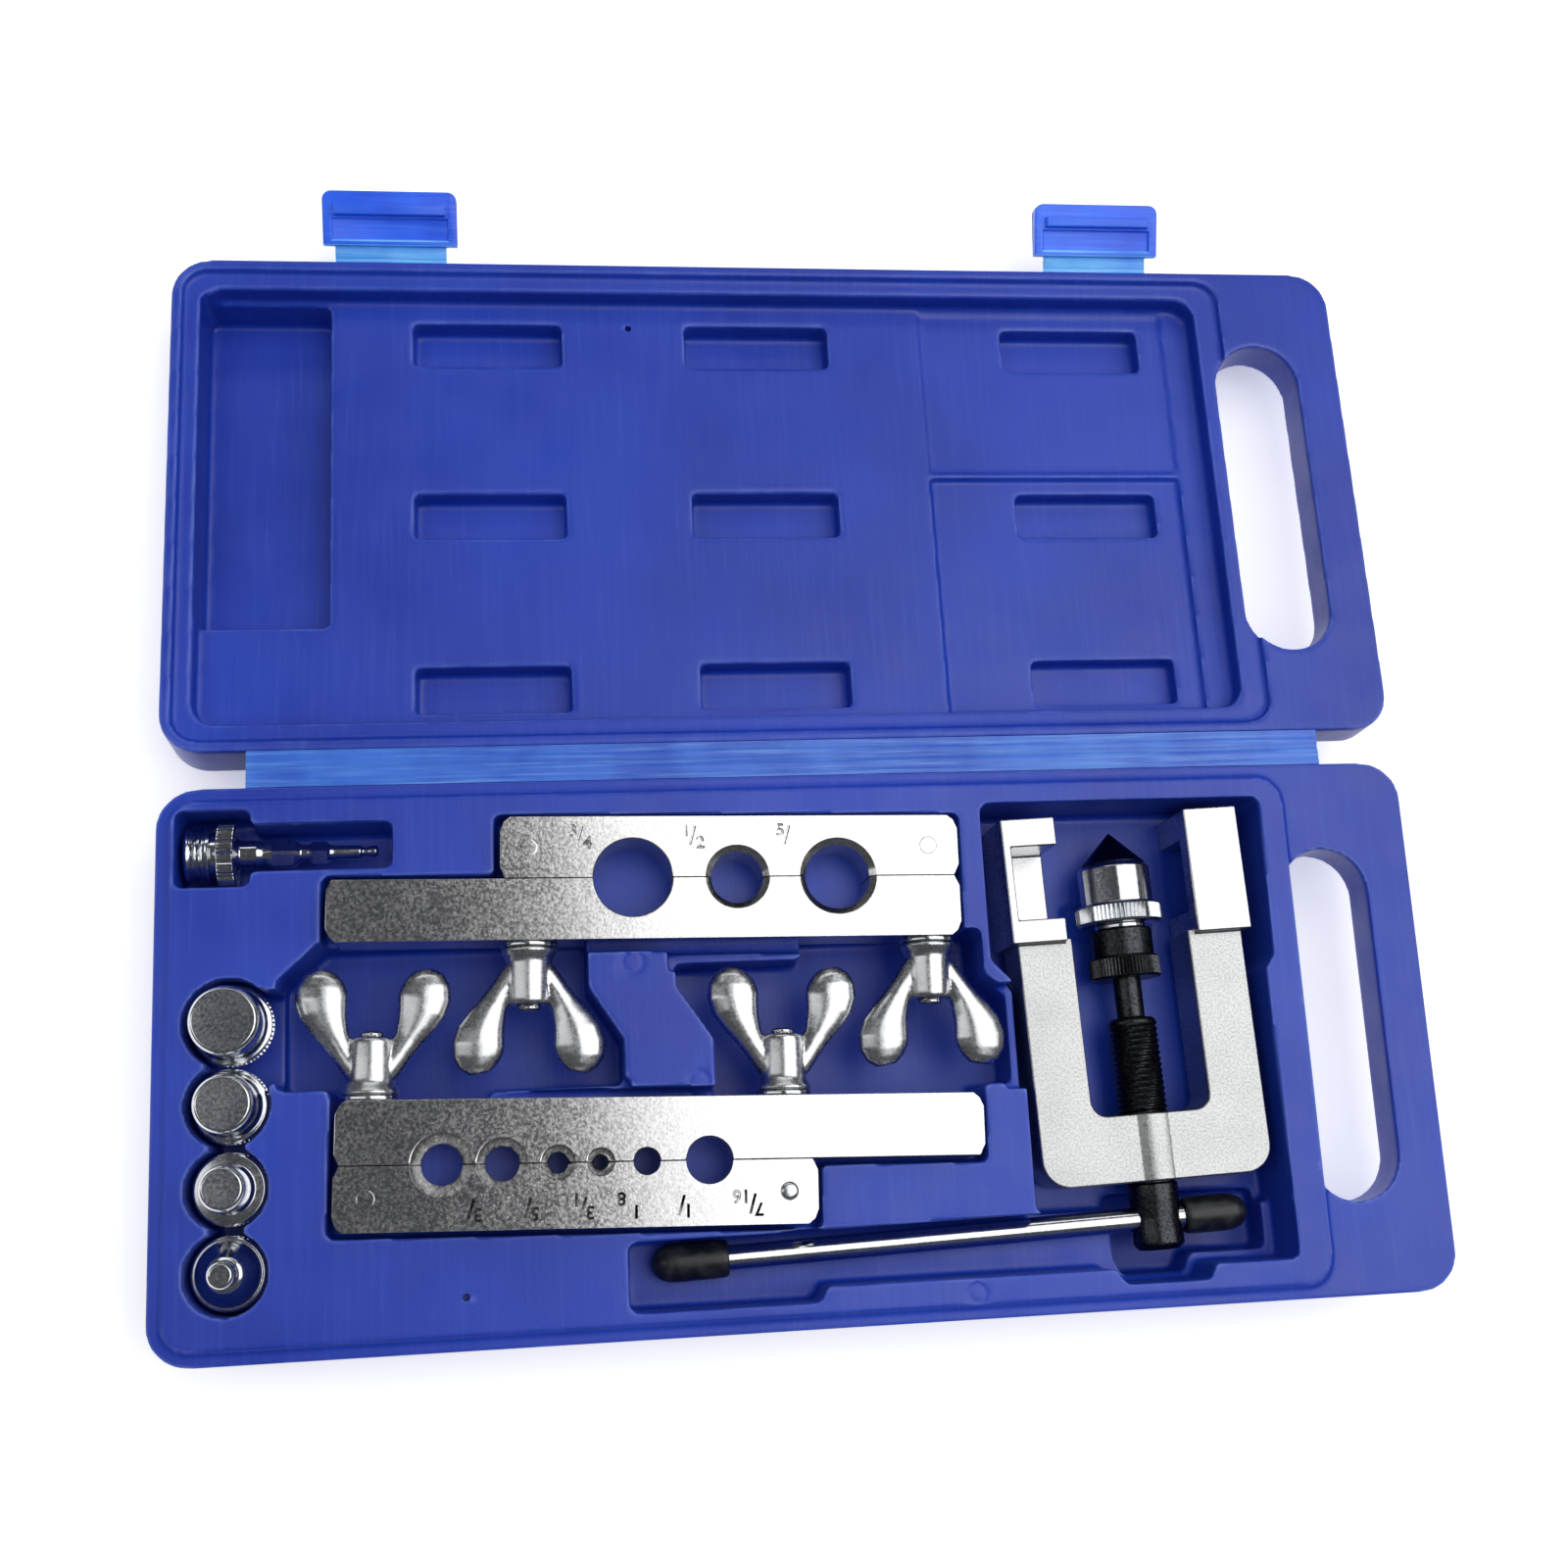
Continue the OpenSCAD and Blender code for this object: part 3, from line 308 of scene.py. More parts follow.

# %% [markdown]
# ## Small helpers for pieces
# A finished piece is a mesh whose object stays at the origin. It rides on the body that it belongs
# to and hides the plain solid that it stands for. Edges sharper than 32 degrees stay crisp; all
# else is shaded smooth.

# %% Piece helpers
BODY_OF = {solid: body for body,
           solids in frame["record"]["behaviour"]["bodies"].items() for solid in solids}
SLOT_OF = {row["node"]: row["material_slot"] for row in frame["record"]["subparts"]}
CRISP = math.radians(32)


def merged_copy(*solids):
    bm = bmesh.new()
    for solid in solids:
        bm.from_mesh(frame["nodes"][solid].data)
    bmesh.ops.remove_doubles(bm, verts=bm.verts, dist=0.002 * MM)
    return bm


def to_object(bm, name, *materials):
    mesh = bpy.data.meshes.new(name)
    bm.to_mesh(mesh)
    bm.free()
    piece = bpy.data.objects.new(name, mesh)
    bpy.context.scene.collection.objects.link(piece)
    for material in materials:
        mesh.materials.append(material)
    mesh.shade_smooth()
    mesh.set_sharp_from_angle(angle=CRISP)
    return piece


def modified_mesh(piece):
    """The mesh that the piece's modifiers make; the modifiers themselves then go."""
    graph = bpy.context.evaluated_depsgraph_get()
    mesh = bpy.data.meshes.new_from_object(piece.evaluated_get(graph))
    piece.modifiers.clear()
    return mesh


def apply_modifiers(piece):
    mesh = modified_mesh(piece)
    old, piece.data = piece.data, mesh
    bpy.data.meshes.remove(old)
    mesh.shade_smooth()
    mesh.set_sharp_from_angle(angle=CRISP)
    return piece


def cut(piece, cutter, crossing=False):
    """crossing: the cutter's own shells may pass through each other, as close numerals do."""
    step = piece.modifiers.new("Cut", "BOOLEAN")
    step.operation = "DIFFERENCE"
    step.solver = "EXACT"
    step.use_self = crossing
    step.object = cutter
    apply_modifiers(piece)
    bpy.data.objects.remove(cutter)
    return piece


def evenly_shaded(piece):
    """Broad flat faces set the shading, so that a rounded edge doesn't pull it out of true."""
    piece.modifiers.new("Even", "WEIGHTED_NORMAL").keep_sharp = True
    piece.data = modified_mesh(piece)
    return piece


def stand_for(piece, *solids):
    """The piece takes over from these solids: their body and their place."""
    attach(piece, BODY_OF[solids[0]])
    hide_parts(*solids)
    print(piece.name, "stands for", ", ".join(solids), "with", len(piece.data.polygons), "faces")
    return piece

# %% [markdown]
# ## Where things turn
# The lid lies a little below level, because its rim rests on nothing: its own frame starts at the
# hinge line and leans by that angle.

# %% Joints and the lid's frame
JOINTS = {joint["name"]: joint for joint in frame["joints"]}
LID_DROOP = math.radians(-2.9)
hinge_line = Vector(JOINTS["lid_hinge"]["pos_m"])
lid_place = Matrix.Translation(hinge_line) @ Matrix.Rotation(LID_DROOP, 4, "X")
print("joints:", ", ".join(JOINTS))

# %% [markdown]
# ## The two halves of the case
# Each half is a double-walled shell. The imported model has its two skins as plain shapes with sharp
# edges; a blow-moulded wall is round everywhere, because the plastic can't reach into a sharp
# corner. So the skins are joined, rebuilt as one surface by a voxel remesh, and smoothed until the
# edges have a radius of about 1.5 mm. The edge under each half gets a far larger radius, by sliding
# its vertices onto a quarter circle. Faint rings, where the mould pushed the case out, and a small
# vent hole in each half are added, and the mesh is thinned where it is flat.

# %% Case halves
VOXEL = 0.6 * MM
TRIANGLE_LIMIT = 190000


def moulded_half(name, *solids):
    piece = to_object(merged_copy(*solids), name, case_plastic)
    remesh = piece.modifiers.new("Rebuild", "REMESH")
    remesh.mode = "VOXEL"
    remesh.voxel_size = VOXEL
    smooth = piece.modifiers.new("Round", "SMOOTH")
    smooth.factor = 0.5
    smooth.iterations = 9
    apply_modifiers(piece)
    return piece


def thinned(piece, limit):
    triangles = sum(len(face.vertices) - 2 for face in piece.data.polygons)
    if triangles > limit:
        thin = piece.modifiers.new("Thin", "DECIMATE")
        thin.ratio = limit / triangles
        apply_modifiers(piece)
    return piece


def rounded_foot(piece, place, low_z):
    """Turn the square edge under a half into a quarter circle, in the half's own frame."""
    back = place.inverted()
    half_x, half_y = CASE_HALF
    for vert in piece.data.vertices:
        spot = back @ vert.co
        in_x, in_y = abs(spot.x) - (half_x - CORNER), abs(spot.y) - (half_y - CORNER)
        if in_x > 0 and in_y > 0:
            out = Vector((in_x, in_y)).normalized()
            depth = CORNER - math.hypot(in_x, in_y)
        else:
            out = Vector((1, 0)) if in_x > in_y else Vector((0, 1))
            depth = CORNER - max(in_x, in_y)
        a, b = FOOT_R - depth, FOOT_R - (spot.z - low_z)
        if a > 0 and b > 0:
            share = max(a, b) / math.hypot(a, b)
            spot.x -= math.copysign(out.x, spot.x) * a * (1 - share)
            spot.y -= math.copysign(out.y, spot.y) * a * (1 - share)
            spot.z += b * (1 - share)
            vert.co = place @ spot


def mould_marks(piece, spots):
    """Faint rings, which the mould's ejector leaves in a raised face: x, y and radius."""
    for vert in piece.data.vertices:
        for x, y, radius in spots:
            away = math.hypot(vert.co.x - x * MM, vert.co.y - y * MM) / MM
            if away < radius and vert.normal.z > 0.9:
                groove = GROOVE_DEPTH * math.exp(-((away - radius * 0.8) / GROOVE_WIDTH) ** 2)
                vert.co.z -= (MARK_SUNK + groove) * MM


def vented(piece, spot):
    """A small hole through the inner skin, which lets air out of the hollow wall."""
    bm = bmesh.new()
    bmesh.ops.create_cone(bm, segments=24, radius1=VENT_R, radius2=VENT_R, depth=5 * MM, cap_ends=True)
    bmesh.ops.translate(bm, verts=bm.verts, vec=Vector(spot) * MM)
    cut(piece, to_object(bm, "vent"))


CASE_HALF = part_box("base_outer_shell")[1].to_2d()
CORNER = 10 * MM
FOOT_R = 7 * MM
VENT_R = 0.9 * MM
MARK_SUNK, GROOVE_DEPTH, GROOVE_WIDTH = 0.10, 0.16, 0.5      # of an ejector's ring, in mm
MARKS = [(-44.5, 21.5, 3.2), (-29.5, -8.0, 3.0), (35.0, -61.0, 2.6)]
BASE_VENT = (-85.5, -55.0, 31.0)
LID_VENT = (-39.0, 195.7, 15.5)
lid_frame = lid_place @ Matrix.Translation((0, hinge_line.y, 0))
LID_LOW = min((lid_frame.inverted() @ vert.co).z for vert in frame["nodes"]["lid_outer_shell"].data.vertices)

def case_half(name, place, low_z, marks, vent, *solids):
    piece = moulded_half(name, *solids)
    rounded_foot(piece, place, low_z)
    mould_marks(piece, marks)
    thinned(piece, TRIANGLE_LIMIT)
    vented(piece, vent)
    stand_for(piece, *solids)


case_half("case_base", Matrix.Identity(4), 0.0, MARKS, BASE_VENT, "base_outer_shell", "base_inner_tray")
case_half("case_lid", lid_frame, LID_LOW, (), LID_VENT, "lid_outer_shell", "lid_inner_liner")

# %% [markdown]
# ## The hinge strap
# One thin strip of the same plastic joins the halves. It is creased along its middle, so it bends
# there and nowhere else. It is one sheet, shaped across the hinge: its half on the base side is set
# in the base's frame, and the far half in the lid's frame, as the lid lies now. It is a grid, pushed
# into shape by a small valley at the crease and a fold line at each side.

# %% Hinge strap
STRAP_T = 0.95                                # mm
VALLEY_DEPTH, VALLEY_WIDTH = 0.38, 0.16       # depths in mm; places and widths are shares of the
FOLD_DEPTH, FOLD_WIDTH, FOLD_AT = 0.16, 0.1, 0.62       # way from the crease to an edge
RIPPLE = 0.07                                 # mm


def strap_valley(share):
    """How far the sheet is pressed down, in mm, at a share of the way to its edge."""
    crease = VALLEY_DEPTH * math.exp(-(share / VALLEY_WIDTH) ** 2)
    return crease + FOLD_DEPTH * math.exp(-((share - FOLD_AT) / FOLD_WIDTH) ** 2)


def doubled(bm, step):
    """Gives a flat grid its second face, moved by step, and the walls between the two."""
    made = bmesh.ops.extrude_face_region(bm, geom=bm.faces[:])["geom"]
    bmesh.ops.translate(bm, verts=[v for v in made if isinstance(v, bmesh.types.BMVert)], vec=step)


def hinge_strap():
    low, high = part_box("hinge_leaf_base")
    half = hinge_line.y - low.y
    bm = bmesh.new()
    bmesh.ops.create_grid(bm, x_segments=136, y_segments=24, size=0.5)
    bmesh.ops.scale(bm, verts=bm.verts, vec=(high.x - low.x, 2 * half, 1.0))
    doubled(bm, (0, 0, -STRAP_T * MM))
    for vert in bm.verts:
        share = abs(vert.co.y) / half
        valley = strap_valley(share)
        top_side = vert.co.z > -0.5 * MM
        vert.co.z += (-valley if top_side else 0.25 * valley) * MM
        wave = math.sin(vert.co.x * 190) * math.sin(vert.co.x * 61) * RIPPLE * (1 - share)
        vert.co.z -= abs(wave) * MM if top_side else 0
        place = lid_place if vert.co.y > 0 else Matrix.Translation(hinge_line)
        vert.co = place @ vert.co
    bmesh.ops.recalc_face_normals(bm, faces=bm.faces)
    piece = to_object(bm, "hinge_strap", strap_plastic)
    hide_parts("hinge_leaf_base", "hinge_leaf_lid")
    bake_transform(piece)
    print(piece.name, "bends between base and lid")


hinge_strap()

# %% [markdown]
# ## The latches
# A latch is a stiff flap on a pale living hinge. The flap has a rounded rim round a sunk panel, a
# lip at its tip to pull on, and a hook that snaps into the base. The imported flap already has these
# shapes, so it is copied, its flat triangles are dissolved, and every edge is bevelled by half a
# millimetre. The pale band is a separate thin sheet that is blended between lid and flap.

# %% Latches
CORNER_MM = 2.6      # radius of the tip's corners
PALE_MM = 5.2        # how far the folded, paler zone reaches from the hinge line
FLAP_RISE = math.radians(22)                  # how far a latch stands up from its lid at rest
BAND_FROM, BAND_LONG = -5.0, 7.6              # mm along: just inside the lid's wall, onto the flap
BAND_FACE, BAND_T, BAND_VALLEY = -1.25, 1.0, 0.18       # mm below the joint's line


def flat_copy(*solids):
    """The solids as one mesh, whose flat triangles are dissolved into whole faces."""
    bm = merged_copy(*solids)
    bmesh.ops.dissolve_limit(bm, angle_limit=math.radians(1.0), verts=bm.verts, edges=bm.edges)
    return bm


def bevelled(bm, edges, width_mm, segments):
    bmesh.ops.bevel(bm, geom=edges, offset=width_mm * MM, offset_type="OFFSET", affect="EDGES",
                    segments=segments, profile=0.5, material=-1, clamp_overlap=True)


def bevel_sharp(bm, width_mm, segments, least_angle=25):
    sharp = [edge for edge in bm.edges if len(edge.link_faces) == 2
             and edge.calc_face_angle() > math.radians(least_angle)]
    bevelled(bm, sharp, width_mm, segments)
    bmesh.ops.remove_doubles(bm, verts=bm.verts, dist=0.004 * MM)


def softened_copy(name, solid, width_mm, segments, materials, least_angle):
    bm = flat_copy(solid)
    bevel_sharp(bm, width_mm, segments, least_angle)
    return to_object(bm, name, *materials)


def tip_corners(bm, axis):
    """The two corners of a tip: short edges along the flap's height, furthest from the hinge."""
    reach = max((vert.co - axis).yz.length for vert in bm.verts)
    found = []
    for edge in bm.edges:
        one, other = edge.verts
        upright = abs(one.co.x - other.co.x) < 0.01 * MM and edge.calc_length() < 4 * MM
        at_tip = min((vert.co - axis).yz.length for vert in edge.verts) > reach - 0.6 * MM
        if upright and at_tip and len(edge.link_faces) == 2 and edge.calc_face_angle() > 1.2:
            found.append(edge)
    return found


def latch_flap(side, axis):
    bm = flat_copy("latch_" + side)
    corners = tip_corners(bm, axis)
    print("rounded corners on this latch:", len(corners))
    bevelled(bm, corners, CORNER_MM, 5)
    bevel_sharp(bm, 0.5, 3)
    flap = to_object(bm, "latch_flap_" + side, flap_plastic, band_plastic)
    for face in flap.data.polygons:
        face.material_index = 1 if (face.center - axis).yz.length < PALE_MM * MM else 0
    stand_for(flap, "latch_" + side)


def latch_band(side, axis):
    low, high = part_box("latch_leaf_" + side)
    rise = FLAP_RISE + LID_DROOP
    lid_way = Vector((0, math.cos(LID_DROOP), math.sin(LID_DROOP)))
    flap_way = Vector((0, math.cos(rise), math.sin(rise)))
    bm = bmesh.new()
    bmesh.ops.create_grid(bm, x_segments=40, y_segments=14, size=0.5)
    bmesh.ops.scale(bm, verts=bm.verts, vec=(high.x - low.x, 1.0, 1.0))
    doubled(bm, (0, 0, 1.0))
    for vert in bm.verts:
        along = BAND_FROM + BAND_LONG * (vert.co.y + 0.5)
        on_top = vert.co.z > 0.5
        level = BAND_FACE + BAND_T * vert.co.z
        level += 0 if on_top else BAND_VALLEY * math.exp(-(along / 0.8) ** 2)
        way = lid_way if along < 0 else flap_way
        up = Vector((0, -way.z, way.y))
        spot = axis + way * along * MM + up * level * MM
        vert.co = Vector(((low.x + high.x) / 2 + vert.co.x, spot.y, spot.z))
    bmesh.ops.recalc_face_normals(bm, faces=bm.faces)
    band = to_object(bm, "latch_band_" + side, band_plastic)
    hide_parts("latch_leaf_" + side)
    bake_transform(band)


for side in ("left", "right"):
    latch_axis = Vector(JOINTS[f"latch_{side}_hinge"]["pos_m"])
    latch_flap(side, latch_axis)
    latch_band(side, latch_axis)

# %% [markdown]
# ## Turned parts
# Screws, caps, adapters and pins were all made on a lathe, and a spin is a lathe: a profile of
# radii along the axis goes once round. Two more things are done to it. Corners of the profile are
# broken by a small arc, because no real edge is perfectly sharp. Threads, knurls and flats then
# come from moving each vertex in or out, by a rule that knows its height and its angle.

# %% A lathe
def arced(points, radius):
    """Breaks each inner corner of a profile of (along, out) pairs by a four-step arc."""
    soft = [Vector(points[0])]
    for before, corner, after in zip(points, points[1:], points[2:]):
        before, corner, after = Vector(before), Vector(corner), Vector(after)
        reach = min(radius, (before - corner).length * 0.45, (after - corner).length * 0.45)
        first = corner + (before - corner).normalized() * reach
        last = corner + (after - corner).normalized() * reach
        for step in range(5):
            t = step / 4
            soft.append(first * (1 - t) ** 2 + corner * 2 * t * (1 - t) + last * t ** 2)
    return soft + [Vector(points[-1])]


def with_rows(points, spans):
    """Adds rows of points, so that a span (from, to, step) along the axis can carry a thread."""
    dense = []
    for first, last in zip(points, points[1:]):
        dense.append(first)
        for low, high, step in spans:
            level = abs(first.y - last.y) < 0.4
            within = first.x >= low - 0.5 and last.x <= high + 0.5
            if level and within and last.x - first.x > step:
                count = int((last.x - first.x) / step)
                dense += [first.lerp(last, k / count) for k in range(1, count)]
    return dense + [points[-1]]


def turned(profile, place, columns=96, corner=0.25, spans=(), rule=None, closed=False):
    """profile and rule are in mm; the axis is the local Z of place; rule gives a new radius."""
    points = with_rows(arced(profile, corner), spans)
    bm = bmesh.new()
    ring = [bm.verts.new((p.y * MM, 0, p.x * MM)) for p in points]
    pairs = list(zip(ring, ring[1:])) + ([(ring[-1], ring[0])] if closed else [])
    edges = [bm.edges.new(pair) for pair in pairs]
    bmesh.ops.spin(bm, geom=ring + edges, cent=(0, 0, 0), axis=(0, 0, 1), dvec=(0, 0, 0),
                   angle=2 * math.pi, steps=columns, use_merge=True)
    bmesh.ops.remove_doubles(bm, verts=bm.verts, dist=0.001 * MM)
    for vert in bm.verts if rule else ():
        radius = math.hypot(vert.co.x, vert.co.y)
        if radius > 0.4 * MM:
            turn = math.atan2(vert.co.y, vert.co.x)
            scale = rule(vert.co.z / MM, turn, radius / MM) * MM / radius
            vert.co.x *= scale
            vert.co.y *= scale
    bmesh.ops.recalc_face_normals(bm, faces=bm.faces)
    bm.transform(place)
    if place.determinant() < 0:
        bmesh.ops.reverse_faces(bm, faces=bm.faces)
    return bm


def vee(x):
    """A triangle wave from 0 to 1 and back over one unit."""
    return abs((x % 1.0) * 2 - 1)


def threaded(low, high, pitch, depth):
    def rule(z, turn, radius):
        fade = min(1.0, max(0.0, (z - low) / pitch), max(0.0, (high - z) / pitch))
        return radius - depth * fade * (1 - vee(z / pitch - turn / (2 * math.pi))) ** 0.8
    return rule


def knurled(low, high, teeth, depth):
    def rule(z, turn, radius):
        inside = low + 0.12 < z < high - 0.12
        return radius - (depth * vee(teeth * turn / (2 * math.pi)) if inside else 0.0)
    return rule


def wider_than(limit, inner):
    """Keeps a rule to the parts of a profile that stand out further than limit."""
    def rule(z, turn, radius):
        return inner(z, turn, radius) if radius > limit else radius
    return rule


def one_by_one(*rules):
    def rule(z, turn, radius):
        for each in rules:
            radius = each(z, turn, radius)
        return radius
    return rule


def axis_place(joint, sideways=Vector((0, 0, 1))):
    """Frame with its origin at a joint and its Z along the joint's axis; X lies level."""
    z = Vector(JOINTS[joint]["axis"]).normalized()
    x = sideways.cross(z).normalized()
    y = z.cross(x)
    turn = Matrix((x, y, z)).transposed().to_4x4()
    return Matrix.Translation(Vector(JOINTS[joint]["pos_m"])) @ turn

# %% [markdown]
# ## The feed screw and its swivel
# The screw is black-oxided steel with a trapezoid-looking thread of 1.5 mm pitch. A black knurled
# collar holds the ball of its tip; the chrome holder that carries the cone turns freely on that
# ball. All of these share the screw's axis, so they share one frame, and their places along it come
# from the real lengths.

# %% Screw, collar, holder and cone
# every profile is a list of (along the axis, out from it), in mm
SCREW_R, SCREW_FOOT, HEAD_END, THREAD_END = 6.35, -53.7, -37.5, 3.8
THREAD_PITCH, THREAD_DEPTH = 1.5, 0.55
T_HOLE_ALONG, T_BAR_R = -46.1, 3.0
SCREW = [(SCREW_FOOT, 0), (SCREW_FOOT, SCREW_R - 1.2), (SCREW_FOOT + 1.4, SCREW_R),
         (SCREW_FOOT + 4.4, SCREW_R - 0.15), (T_HOLE_ALONG, SCREW_R - 0.5),
         (HEAD_END - 3, SCREW_R - 0.1), (HEAD_END - 0.2, SCREW_R), (HEAD_END, SCREW_R - 0.5),
         (HEAD_END + 0.6, SCREW_R - 0.5), (HEAD_END + 0.9, SCREW_R), (THREAD_END - 1.2, SCREW_R),
         (THREAD_END, SCREW_R - 1.0), (THREAD_END, 3.55), (16.9, 3.55), (17.3, 4.35), (18.3, 4.35),
         (18.4, 0)]
COLLAR = [(13.9, 3.6), (13.9, 8.6), (14.3, 9.0), (19.1, 9.0), (19.5, 8.4), (19.5, 7.85), (26.2, 7.85),
          (26.6, 7.4), (26.6, 5.0), (22.5, 5.0), (22.5, 4.55), (16.95, 4.55), (16.95, 3.6)]
HOLDER = [(22.6, 0), (22.6, 4.99), (26.65, 4.99), (26.65, 6.5), (27.8, 6.5), (27.8, 10.3),
          (28.4, 10.9), (32.4, 10.9), (33.0, 10.3), (33.0, 9.2), (42.3, 9.2), (43.2, 8.3),
          (43.2, 7.02), (34.0, 7.02), (34.0, 0)]
CONE = [(34.2, 0), (34.2, 7.0), (43.22, 7.0), (43.22, 8.1), (43.4, 8.2), (43.8, 8.2), (51.6, 0.5),
        (52.0, 0)]

screw_place = axis_place("screw_turn")
rod_hole = Matrix.Translation((0, 0, T_HOLE_ALONG * MM)) @ Matrix.Rotation(math.pi / 2, 4, "Y")
rod_place = screw_place @ rod_hole
thread = threaded(HEAD_END + 1.2, THREAD_END - 0.6, THREAD_PITCH, THREAD_DEPTH)
screw = turned(SCREW, screw_place, columns=72, corner=0.5, rule=thread,
               spans=[(HEAD_END + 0.9, THREAD_END - 1.2, 0.19)])
screw = to_object(screw, "feed_screw_threaded", black_oxide)
bore = turned([(-20, 0), (-20, T_BAR_R + 0.05), (20, T_BAR_R + 0.05), (20, 0)], rod_place,
              columns=48, corner=0.01)
stand_for(cut(screw, to_object(bore, "cutter")), "feed_screw")

collar = turned(COLLAR, screw_place, columns=240, corner=0.2, spans=[(14.4, 19.0, 1.1)], closed=True,
                rule=wider_than(8, knurled(14.3, 19.1, 60, 0.45)))
stand_for(to_object(collar, "swivel_collar", black_oxide), "swivel_socket")
holder = turned(HOLDER, screw_place, columns=240, corner=0.3, spans=[(28.4, 32.4, 1.2)],
                rule=wider_than(10, knurled(28.4, 32.4, 60, 0.5)))
stand_for(to_object(holder, "cone_holder_turned", turned_chrome), "cone_holder")
cone = turned(CONE, screw_place, columns=96, corner=0.3)
stand_for(to_object(cone, "flaring_cone_hard", cone_steel), "flaring_cone")

# %% [markdown]
# ## The T-bar and its caps
# A 6 mm chromed bar slides through the screw's head. Its vinyl caps are a little fatter than the
# bar, narrow at the mouth and round at the end like a bullet.

# %% T-bar
T_RIGHT, T_LEFT = 23.5, -126.5                # the caps' outer ends, in mm along the bar
CAP_LEFT, CAP_RIGHT, CAP_END_T = 18.6, 16.6, 2
CAP_BORE_R = T_BAR_R + 0.02
slide_way = Vector(JOINTS["t_handle_slide"]["axis"])
if (rod_place.to_3x3() @ Vector((0, 0, 1))).dot(slide_way) < 0:
    rod_place = rod_place @ Matrix.Rotation(math.pi, 4, "X")
rod_from, rod_to = T_LEFT + CAP_END_T, T_RIGHT - CAP_END_T
t_bar = turned([(rod_from, 0), (rod_from, T_BAR_R), (rod_to, T_BAR_R), (rod_to, 0)], rod_place,
               columns=48, corner=0.5, spans=[(rod_from, rod_to, 3.0)])
stand_for(to_object(t_bar, "t_bar_chromed", turned_chrome), "t_bar")


def vinyl_cap(side, mouth, end):
    length = abs(end - mouth)
    inner = [(length - CAP_END_T, 0), (length - CAP_END_T, CAP_BORE_R)]
    outer = [(0, CAP_BORE_R), (0, 4.15), (0.8, 4.45), (3.0, 4.55), (length - 6, 4.6),
             (length - 3.6, 4.35), (length - 1.6, 3.4), (length - 0.4, 1.9), (length, 0.7), (length, 0)]
    place = rod_place @ Matrix.Translation((0, 0, mouth * MM))
    if end < mouth:
        place = place @ Matrix.Rotation(math.pi, 4, "X")
    cap = turned(inner + outer, place, columns=64, corner=0.6)
    stand_for(to_object(cap, "vinyl_cap_" + side, black_vinyl), "t_cap_" + side)


vinyl_cap("left", T_LEFT + CAP_LEFT, T_LEFT)
vinyl_cap("right", T_RIGHT - CAP_RIGHT, T_RIGHT)

# %% [markdown]
# ## The yoke
# The yoke is one zinc-plated casting. Its arms and crossbar keep the mould's rough skin and have
# round edges; its two hooks were ground on all faces to slide on the bars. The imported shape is
# copied, its edges are rounded, and the faces beyond the arms get the ground finish.

# %% Yoke
GROUND_FROM = 23.9 * MM      # along the screw's axis, where the arms end and the hooks begin
yoke = softened_copy("yoke_casting", "yoke", 0.9, 3, [cast_zinc, ground_zinc], 30)
yoke = evenly_shaded(yoke)
to_screw = screw_place.inverted()
for face in yoke.data.polygons:
    face.material_index = 1 if (to_screw @ face.center).z > GROUND_FROM else 0
stand_for(yoke, "yoke")

# %% [markdown]
# ## The clamp bars
# Each bar is split along its length; the halves close on a tube and the nuts pull them together.
# The bars are plated after blasting, so edges are slightly round. The sizes are stamped beside the
# bores as small fractions. A punch leaves sloping walls, which is why the figures catch the light,
# so the text curves are bevelled at 45 degrees, made meshes and subtracted.

# %% Bars with their sizes
BAR_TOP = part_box("bar_a_short")[1].z
STUD_X = (-29.1, 69.5)
PIN_OUT = 7.5
FRACTION_DEPTH, STROKE_THINNED = 0.28, 0.16
FIGURE_SIZE, SLASH_SIZE, FRACTION_OUT = 4.3, 6.4, 9.9
# upper figure, lower figure, place along the bar: each beside the bore of that many inches
FRACTIONS = {
    "a": [("3", "4", -17.0), ("1", "2", 10.6), ("5", "8", 33.9)],
    "b": [("3", "8", 45.3), ("5", "16", 32.2), ("3", "16", 19.4), ("1", "8", 8.6), ("1", "4", -3.6),
          ("7", "16", -20.4)],
}


def bar_place(letter):
    """The frame of a bar: its origin in the parting plane at the top face, X along the bar."""
    pins = [sum(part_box(f"bar_{letter}_pin_{n}"), Vector()) / 2 for n in (1, 2)]
    along = (pins[1] - pins[0]).normalized()
    out = Vector((0, 0, 1)).cross(along)
    origin = pins[0] - along * STUD_X[0] * MM - out * PIN_OUT * MM
    origin.z = BAR_TOP
    return Matrix.Translation(origin) @ Matrix((along, out, Vector((0, 0, 1)))).transposed().to_4x4()


def numeral(text, place, size_mm):
    curve = bpy.data.curves.new("numeral", "FONT")
    curve.body = text
    curve.size = size_mm * MM
    curve.align_x = "CENTER"
    curve.align_y = "CENTER"
    curve.bevel_depth = FRACTION_DEPTH * MM
    curve.bevel_resolution = 0
    curve.offset = -STROKE_THINNED * MM
    curve.resolution_u = 4
    thing = bpy.data.objects.new("numeral", curve)
    bpy.context.scene.collection.objects.link(thing)
    graph = bpy.context.evaluated_depsgraph_get()
    mesh = bpy.data.meshes.new_from_object(thing.evaluated_get(graph))
    mesh.transform(place)
    bpy.data.objects.remove(thing)
    return mesh


def fraction_cutter(letter):
    bm = bmesh.new()
    base = bar_place(letter)
    for top, bottom, along in FRACTIONS[letter]:
        lower_right = 1.3 + 0.75 * len(bottom)
        spots = ((top, -1.45, 1.5, FIGURE_SIZE), ("/", 0.1, 0.1, SLASH_SIZE),
                 (bottom, lower_right, -1.5, FIGURE_SIZE))
        for text, right, up, size in spots:
            spot = base @ Matrix.Translation(Vector((along + right, FRACTION_OUT + up, 0)) * MM)
            bm.from_mesh(numeral(text, spot, size))
    bmesh.ops.remove_doubles(bm, verts=bm.verts, dist=0.003 * MM)
    return to_object(bm, "fractions_" + letter)


